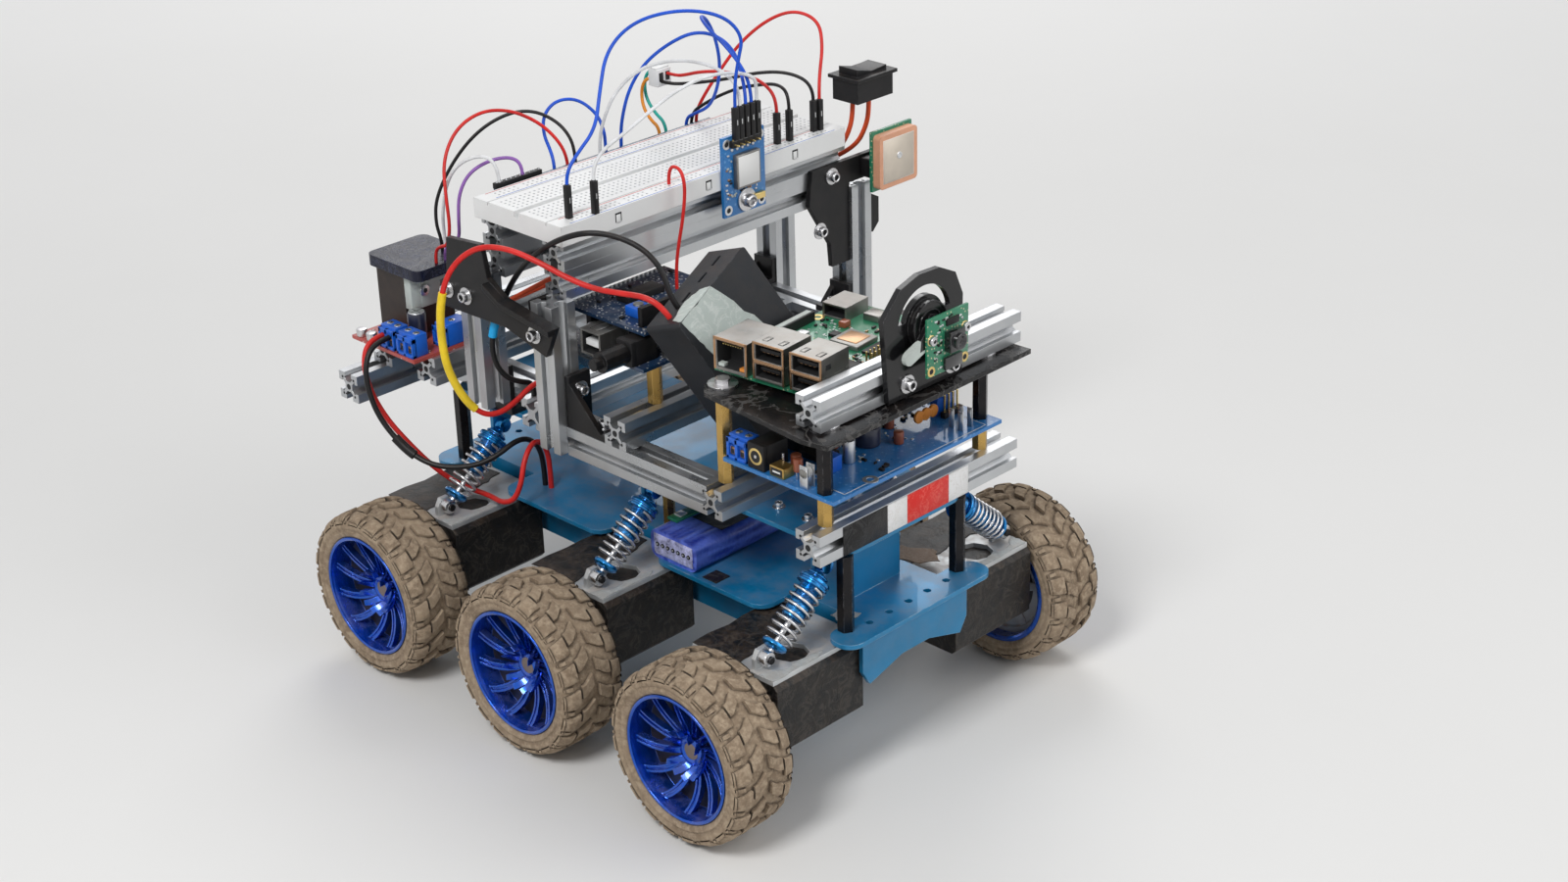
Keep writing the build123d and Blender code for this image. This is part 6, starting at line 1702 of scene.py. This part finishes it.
def fit_housings():
    """Black crimp housings with their latch windows, and the white plug behind the breadboard."""
    shape = Shape()
    on_top = ((-29.5, -37), (-25.4, -26.5), (-30.5, 83.3), (-29.4, 89.8), (-30.4, 106), (-29.6, 109))
    places = [(*place, BREAD_TOP) for place in on_top]
    places += [(-19, y, 219) for y in (47.4, 50.2, 53.6, 56.9, 60.2)]
    places += [(-86.6, y, 186) for y in (4.5, 8.5, 12, 16.5, 30.5, 34, 43, 66, 70, 82, 85.2, 88.3)]
    for x, y, z in places:
        shape.box((x - 1.25, x + 1.25), (y - 1.25, y + 1.25), (z, z + 14), "chip", 0.22)
        # Painted shade: dark marks fill each latch window and the wire's hole on top
        shape.box((x + 1.2, x + 1.29), (y - 0.55, y + 0.55), (z + 6.2, z + 9.2), "painted hole shade")
        shape.box((x + 1.2, x + 1.33), (y - 0.25, y + 0.25), (z + 6.6, z + 8.8), "solder")
        shape.rod((x, y, z + 13.9), (x, y, z + 14.3), 0.95, "painted hole shade", 12)
    shape.boxes((
        (-93, -87, 66.5, 75, 223, 231, "white plastic", 0.6),
        (-92, -88, 66.9, 74.6, 231, 231.5, "white plastic", 0.2),
        (-91.5, -88.5, 69.4, 72.0, 222.6, 223.1, "white plastic", 0.15),
    ))
    # Painted shade: dark marks fill the plug's two openings
    for y in (68.8, 72.6):
        shape.box((-87.05, -86.9), (y - 1.2, y + 1.2), (225.5, 229.5), "painted hole shade")
    piece("jumper_housings", shape, ("wire_housings",))


# where, direction the head faces
CAP_SCREWS = (
    ((-89.5, -54.7, 164.5), (0, -1, 0)),
    ((-77.5, -54.7, 164.5), (0, -1, 0)),
    ((-34.5, -54.7, 159.0), (0, -1, 0)),
    ((-26.1, 112.3, 184.0), (1, 0, 0)),
    ((-26.1, 104.1, 160.5), (1, 0, 0)),
    ((121.1, -2.8, 165.8), (1, 0, 0)),
    ((121.1, 22.5, 165.8), (1, 0, 0)),
    ((-10.5, -41.65, 120.2), (0, 0, 1)),
    ((-24.0, -41.65, 133.5), (1, 0, 0)),
    ((-30.85, 116.4, 120.2), (0, 0, 1)),
    ((-79.65, 116.4, 120.2), (0, 0, 1)),
)
PLATE_HOLES_X = (-100, -68, -20, 24, 72, 88)


def fit_screws():
    """Cap screws on the brackets, plates and deck, their sockets filled with painted shade, and nuts under
    the hull.
    """
    shape = Shape()
    screws = [(point, direction, 0.86) for point, direction in CAP_SCREWS]
    screws += [
        ((x, y, 105.0), (0, 0, 1), 0.6) for x in PLATE_HOLES_X for y in (-24, 24) if clear_of_bars(x, y)
    ]
    screws += [((x, y, 159.5), (0, 0, 1), 0.72) for x, y in ((112.95, -40), (112.95, 50), (58.15, 44))]
    shape.stamp(cap_screw_mesh(), screws, "steel")
    # Painted shade: a near-black hexagon sits inside each screw's socket
    dark = Shape()
    dark.rod((0, 0, 0), (0, 0, 1.75), 1.4, "painted hole shade", 6)
    shape.stamp(dark.to_mesh("socket of a screw"), screws, "painted hole shade")
    nuts = [((x, y, 43.9), (0, 0, -1), 0.8) for x in (-80, -16, 16, 80) for y in (-14, 14)]
    shape.stamp(nut_mesh(), nuts, "steel")
    piece("frame_screws", shape)


def clear_of_bars(x, y):
    """Whether a plate screw's head stands free of the bars on the plate."""
    spans = (
        (-26.5, 51.8, -48, -35.3), (-26.5, 51.8, 35.3, 48), (51.8, 64.5, -48, 48), (-64, -51.3, -41, 110.9),
        (-133.6, -64, 17.3, 30), (-133.6, -64, -30, -17.3), (106.6, 119.3, -50, 66), (1, 7, -24, -18),
    )
    head = 3
    return not any(
        x0 - head < x < x1 + head and y0 - head < y < y1 + head for x0, x1, y0, y1 in spans
    )


# Bar ends: middle of the end, direction it faces
BAR_ENDS = (
    ((112.95, -50, 111.35), (0, -1, 0)), ((112.95, 66, 111.35), (0, 1, 0)),
    ((58.15, -48, 111.35), (0, -1, 0)), ((58.15, 48, 111.35), (0, 1, 0)),
    ((112.25, -47.7, 166.35), (0, -1, 0)), ((112.25, 67.9, 166.35), (0, 1, 0)),
    ((-139.95, -75, 111.35), (0, -1, 0)), ((-139.95, 50, 111.35), (0, 1, 0)),
    ((3.35, -48, 124.05), (0, -1, 0)), ((3.35, 30, 124.05), (0, 1, 0)),
    ((-136.65, -58, 124.05), (0, -1, 0)), ((-136.65, 44, 124.05), (0, 1, 0)),
    ((-105.95, -58, 124.05), (0, -1, 0)), ((-105.95, 44, 124.05), (0, 1, 0)),
    ((-34.95, -42, 177.95), (0, -1, 0)), ((-34.95, -42, 190.65), (0, -1, 0)),
    ((-73.35, -42, 177.95), (0, -1, 0)), ((-73.35, -42, 190.65), (0, -1, 0)),
    ((-30.85, 129.95, 176), (0, 0, 1)), ((-79.65, 129.95, 184.3), (0, 0, 1)),
)


def mark_bar_ends():
    """Bore and the small pierced lobes at each sawn end of the bars, drawn as near-black discs of painted
    shade.
    """
    end = Shape()
    # Painted shade: flat dark discs stand for the shade in the bore and the lobes
    end.rod((0, 0, -0.2), (0, 0, 0.06), 1.35, "painted hole shade", 16)
    for n in range(4):
        angle = math.radians(45 + 90 * n)
        x, y = 4.9 * math.cos(angle) * 1.12, 4.9 * math.sin(angle) * 1.12
        end.rod((x, y, -0.2), (x, y, 0.06), 0.62, "painted hole shade", 10)
    places = [(point, direction, 1.0) for point, direction in BAR_ENDS]
    shape = Shape()
    shape.stamp(end.to_mesh("bar end marks"), places, "painted hole shade")
    piece("bar_end_bores", shape)


# Tapes and labels


CASE_CORNER = Vector((28.4, 3.5, 196.5))
CASE_ACROSS = Vector((0.1397, -0.9063, -0.3989))
CASE_DOWN = Vector((0.299, 0.423, -0.855))
CASE_OUT = Vector((0.9438, 0, 0.3305))


def case_point(x, y):
    """A point on the tilted case: across and down its big face."""
    return CASE_CORNER + CASE_ACROSS * x + CASE_DOWN * y


def lay_tapes():
    """Torn tape on the case, the front bar's coloured bands, and wraps and scraps on the arms and plates."""
    normal = CASE_OUT
    edge_out = case_point(0, -1) - case_point(0, 0)
    shape = Shape()
    corners = ((24.5, 0.0), (45.6, 0.3), (43.2, 14.0), (41.0, 25.0), (27.0, 38.5), (11.5, 35.5))
    torn = torn_outline(corners, 3, 0.7, 6)
    torn = [(x, max(0.0, y)) for x, y in torn]
    shape.plate([case_point(x, y) for x, y in torn], normal, 0.25, "paper tape")
    folded = ((24.5, 0.0), (45.6, 0.0), (44.4, -6.0), (33.0, -8.4), (26.0, -5.0))
    folded = [case_point(x, 0) + normal * y for x, y in torn_outline(folded, 5, 0.4, 4)]
    shape.plate(folded, edge_out, 0.25, "paper tape")
    piece("torn_tape_on_case", shape)

    shape = Shape()
    bands = (
        (-37.3, -12.4, "band tape"), (-12.4, -1.0, "white tape"), (-1.0, 23.5, "red tape"),
        (23.5, 35.4, "white tape"),
    )
    for y0, y1, finish_name in bands:
        shape.box((119.3, 119.55), (y0, y1), (105.0, 117.3), finish_name, 0.08)
    piece("bands_on_front_bar", shape)

    shape = Shape()
    for _, hub_x in AXLES:
        for seed, (_, side) in enumerate(SIDES):
            corners = (
                (hub_x - 22.2, side * 29.0), (hub_x - 2.0, side * 29.0), (hub_x + 1.5, side * 44.0),
                (hub_x - 1.0, side * 58.0), (hub_x + 3.0, side * 75.3), (hub_x - 22.2, side * 75.3),
            )
            outline = torn_outline(corners, seed + int(hub_x), 0.8, 5)
            sheet_of(shape, outline, 66.0, 0.35, "motor wrap")
            corners = (
                (hub_x + 14.0, side * 75.3), (hub_x + 22.0, side * 75.3), (hub_x + 22.0, side * 50.0),
                (hub_x + 19.5, side * 46.0), (hub_x + 18.0, side * 58.0), (hub_x + 19.0, side * 66.0),
            )
            sheet_of(shape, torn_outline(corners, 7 + seed + int(hub_x), 0.6, 4), 66.0, 0.3, "silver tape")
    piece("torn_wrap_on_arms", shape)

    shape = Shape()
    scraps = (
        (((88, 22), (102, 26), (107, 33), (98, 39), (84, 31)), 12, 0.8, 5, "brown tape"),
        (((104, -29), (113, -31), (112, -20), (103, -22)), 14, 0.6, 4, "silver tape"),
    )
    for corners, seed, roughness, pieces, finish_name in scraps:
        sheet_of(shape, torn_outline(corners, seed, roughness, pieces), 70.0, 0.3, finish_name)
    sheet_of(shape, ((44, -41), (52, -41), (52, -33), (44, -33)), 70.0, 0.3, "band tape")
    piece("torn_tape_on_plates", shape)


def dress_battery():
    """Pale end with its row of contacts, blank black label and the thin green strip."""
    shape = Shape()
    for y, out in ((-41.0, -1), (25.0, 1)):
        shape.box((16.2, 38.8), sorted((y, y + out * 0.3)), (71.8, 81.2), "wrap end", 0.15)
        for n in range(7):
            x = 18.4 + n * 3.05
            shape.rod((x, y + out * 0.2, 76.6), (x, y + out * 0.7, 76.6), 0.95, "chip", 12, bevel=0.1)
            shape.rod((x, y + out * 0.3, 76.6), (x, y + out * 0.8, 76.6), 0.45, "solder", 10)
    sheet_of(shape, ((21, -24), (38.5, -24), (38.5, 16), (21, 16)), 83.0, 0.12, "band tape")
    shape.box((14.6, 20.4), (-32, 8), (83.0, 84.2), "green board", 0.1)
    shape.box((15.6, 19.4), (-29, -25), (84.2, 85.0), "solder", 0.15)
    for n in range(5):
        shape.box((16.2, 18.8), (-20 + n * 5.2, -17.6 + n * 5.2), (84.2, 84.9), "chip", 0.1)
    piece("battery_label_and_strip", shape)


def fit_driver():
    """Terminals, round capacitor and small parts on the motor driver, and the tab on its heat sink."""
    shape = Shape()
    z = 132.0
    terminal(shape, (-126, -116), (-66.5, -58), (z, z + 10), 2)
    terminal(shape, (-114, -103), (-66.5, -58), (z, z + 10), 2)
    terminal(shape, (-110, -102), (-50, -36), (z, z + 10), 1)
    shape.rod((-119.5, -50.5, z), (-119.5, -50.5, z + 12.6), 4.1, "capacitor", 36, bevel=0.7)
    shape.rod((-119.5, -50.5, z + 12.2), (-119.5, -50.5, z + 13.0), 3.5, "solder", 36, bevel=0.2)
    # Painted shade: the cross scored in the capacitor's top is drawn as two dark strips
    for a in (0.0, 90.0):
        turn = Matrix.Rotation(math.radians(a), 3, "Z")
        shape.box((-122.4, -116.6), (-50.65, -50.35), (z + 12.95, z + 13.06), "painted hole shade", turn=turn)
    kinds = (("chip", 8, 2.2, 0.9), ("solder", 20, 1.2, 0.4), ("pale tab", 6, 1.5, 0.7))
    regions = (
        (-126, -104, -57, -56), (-112, -103, -34, -26), (-125, -112, -46, -26), (-144, -128, -64, -53),
    )
    scatter(shape, 31, kinds, regions, z)
    piece("driver_fittings", shape, ("driver_parts",))

    shape = Shape()
    shape.box((-122.5, -122.1), (-45, -29), (144, 159), "pale tab", 0.12)
    shape.box((-126.9, -122.3), (-50.2, -36.5), (z + 12, z + 26.5), "pale tab", 0.35)
    shape.rod((-122.3, -43.5, z + 20), (-120.9, -43.5, z + 20), 2.6, "steel", 24, bevel=0.3)
    # Painted shade in the screw's socket
    shape.rod((-121.2, -43.5, z + 20), (-120.8, -43.5, z + 20), 1.2, "painted hole shade", 6)
    for x in (-141.0, -134.0):
        shape.rod((x, -64.5, z), (x, -64.5, z + 3.4), 2.4, "steel", 20, bevel=0.4)
    piece("heat_sink_tab", shape)


def fit_camera():
    """Rings and screws at the small board's corners, its connector, and the lens."""
    shape = Shape()
    face = 127.5
    shape.boxes((
        (face - 1.2, face, 1.6, 25.3, 168.0, 192.0, "green board", 0.25),
        (face, face + 1.4, 10.6, 20.4, 169.0, 174.0, "lens", 0.2),
        (face, face + 0.9, 12.0, 19.0, 186.6, 189.4, "chip", 0.15),
    ))
    for y in (3.8, 23.1):
        for z in (170.4, 183.2):
            shape.ring((face, y, z), 1.15, 2.1, 0.14, "gold", (1, 0, 0))
            # Painted shade: a dark disc fills each corner hole
            shape.rod((face - 0.02, y, z), (face + 0.1, y, z), 1.1, "painted hole shade", 16)
    for y, z in ((3.8, 183.2), (23.1, 183.2)):
        shape.rod((face, y, z), (face + 1.8, y, z), 1.9, "steel", 20, bevel=0.35)
        # Painted shade in each screw's socket
        shape.rod((face + 1.6, y, z), (face + 1.9, y, z), 0.8, "painted hole shade", 6)
    y, z = 15.45, 180.5
    shape.box((face, face + 3.4), (y - 4.2, y + 4.2), (z - 4.2, z + 4.2), "lens", 0.3)
    shape.turned(
        ((0.9, 3.3), (3.3, 3.3), (3.3, 5.1), (2.9, 5.35), (2.3, 5.3), (1.5, 4.3), (0.9, 4.2)),
        (face, y, z), (1, 0, 0), "lens", 36,
    )
    shape.rod((face + 3.5, y, z), (face + 4.3, y, z), 1.0, "lens", 20, bevel=0.2)
    edges = ((5.5, 9.8, 170, 189), (5.5, 22, 186, 190.5))
    strew(shape, 17, 34, edges, face, 0.35, 0.8, 0.3, ("solder", "chip", "pale tab"))
    piece("camera_fittings", shape, ("camera_module",))

    shape = Shape()
    centre = (7.1, 187.9)
    for outer, inner, out in ((9.5, 8.6, 0.35), (6.4, 5.6, 0.3), (3.2, 0.0, 0.5)):
        shape.turned(
            ((max(inner, 0.01), 0), (outer, 0), (outer - 0.15, out), (max(inner, 0.01) + 0.1, out)),
            (124.1, *centre), (1, 0, 0), "gloss black", 48,
        )
    round_end = (1.95, 2.5, 3.05, 3.6, 4.15, 4.7, 5.1)
    lever = [(-6.5 + 2.8 * math.cos(a), 178.6 + 2.8 * math.sin(a)) for a in round_end]
    lever += [(9.0, 181.4), (9.0, 187.4)]
    shape.plate([(124.15, along, level) for along, level in lever], (1, 0, 0), 2.1, "pale tab")
    piece("camera_boss_and_lever", shape)


def fit_satellite_module():
    """Corner rings, blank label, pins and small parts on the upright blue board, and its big bolt."""
    shape = Shape()
    face = -22.0
    shape.boxes((
        (face - 1.6, face, 42, 67, 184.5, 220, "blue board", 0.2),
        (face, face + 2.5, 48, 62, 196.5, 211.5, "socket metal", 0.3),
        (face + 2.45, face + 2.62, 48.9, 61.1, 197.4, 210.6, "label", 0.05),
        (face, face + 2.5, 46, 63, 215.2, 218.0, "chip", 0.15),
        (face, face + 2.0, 58.5, 65.0, 188.8, 191.6, "gold", 0.25),
    ))
    shape.rod((-28.6, 55, 190), (face - 1.6, 55, 190), 2.6, "steel", 24)
    for y, z in ((44.6, 216.8), (64.4, 216.8), (44.6, 187.6), (64.4, 187.6)):
        shape.ring((face, y, z), 1.2, 2.2, 0.15, "solder", (1, 0, 0))
        # Painted shade: a dark disc fills each corner hole
        shape.rod((face - 0.02, y, z), (face + 0.08, y, z), 1.15, "painted hole shade", 16)
    pin_row(shape, (face + 1.2, 47.4, 217.9), 3.1, 5, (0.6, 0.6, 1.2))
    for n in range(5):
        shape.box((face + 2.0, face + 5.0), (47.1 + n * 3.1, 47.7 + n * 3.1), (216.2, 216.8), "gold", 0.08)
        pin = 47.4 + n * 3.1
        shape.rod((face, pin, 213.8), (face + 0.5, pin, 213.8), 0.75, "solder", 12, bevel=0.15)
    edges = ((43.5, 47, 193, 213), (44, 64, 192.5, 195.6))
    strew(shape, 29, 26, edges, face, 0.4, 0.75, 0.35, ("solder", "chip", "pale tab", "copper"))
    shape.rod((face, 55, 190), (face + 0.9, 55, 190), 5.1, "steel", 40, bevel=0.2)
    shape.turned(
        ((0.02, 2.2), (1.5, 2.2), (1.6, 4.2), (2.0, 4.5), (2.6, 4.3), (2.9, 3.8), (2.9, 0.9), (0.02, 0.9)),
        (face, 55, 190), (1, 0, 0), "steel", 32,
    )
    piece("module_fittings", shape, ("satellite_can", "satellite_module"))


def dress_antenna():
    """Pale metal square with its border and the oval feed ring on the ceramic patch."""
    shape = Shape()
    face, y, z = -14.4, 143.75, 187.0
    shape.box((-20, -18.4), (130.5, 157), (173, 201), "green board", 0.2)
    shape.box((-26.1, -20), (131, 139.5), (179, 188), "moulded black", 0.8)
    shape.box((face - 0.05, face + 0.08), (y - 10.2, y + 10.2), (z - 10.2, z + 10.2), "patch line", 0.03)
    shape.box((face, face + 0.14), (y - 9.8, y + 9.8), (z - 9.8, z + 9.8), "patch", 0.04)
    feed_ring = ((0.75, 0.1), (1.6, 0.1), (1.5, 0.45), (0.85, 0.45))
    shape.turned(feed_ring, (face, y + 0.4, z + 1.2), (1, 0, 0), "solder", 28)
    shape.rod((face + 0.1, y + 0.4, z + 1.2), (face + 0.35, y + 0.4, z + 1.2), 0.75, "solder", 20, bevel=0.1)
    piece("antenna_fittings", shape, ("antenna_board",))


make_view()
dress_nodes()
lay_wires()
hang_wheels()
fit_dampers()
fit_control_board()
fit_computer_board()
fit_controller()
mark_breadboard()
fit_housings()
fit_screws()
mark_bar_ends()
lay_tapes()
dress_battery()
fit_driver()
fit_camera()
fit_satellite_module()
dress_antenna()
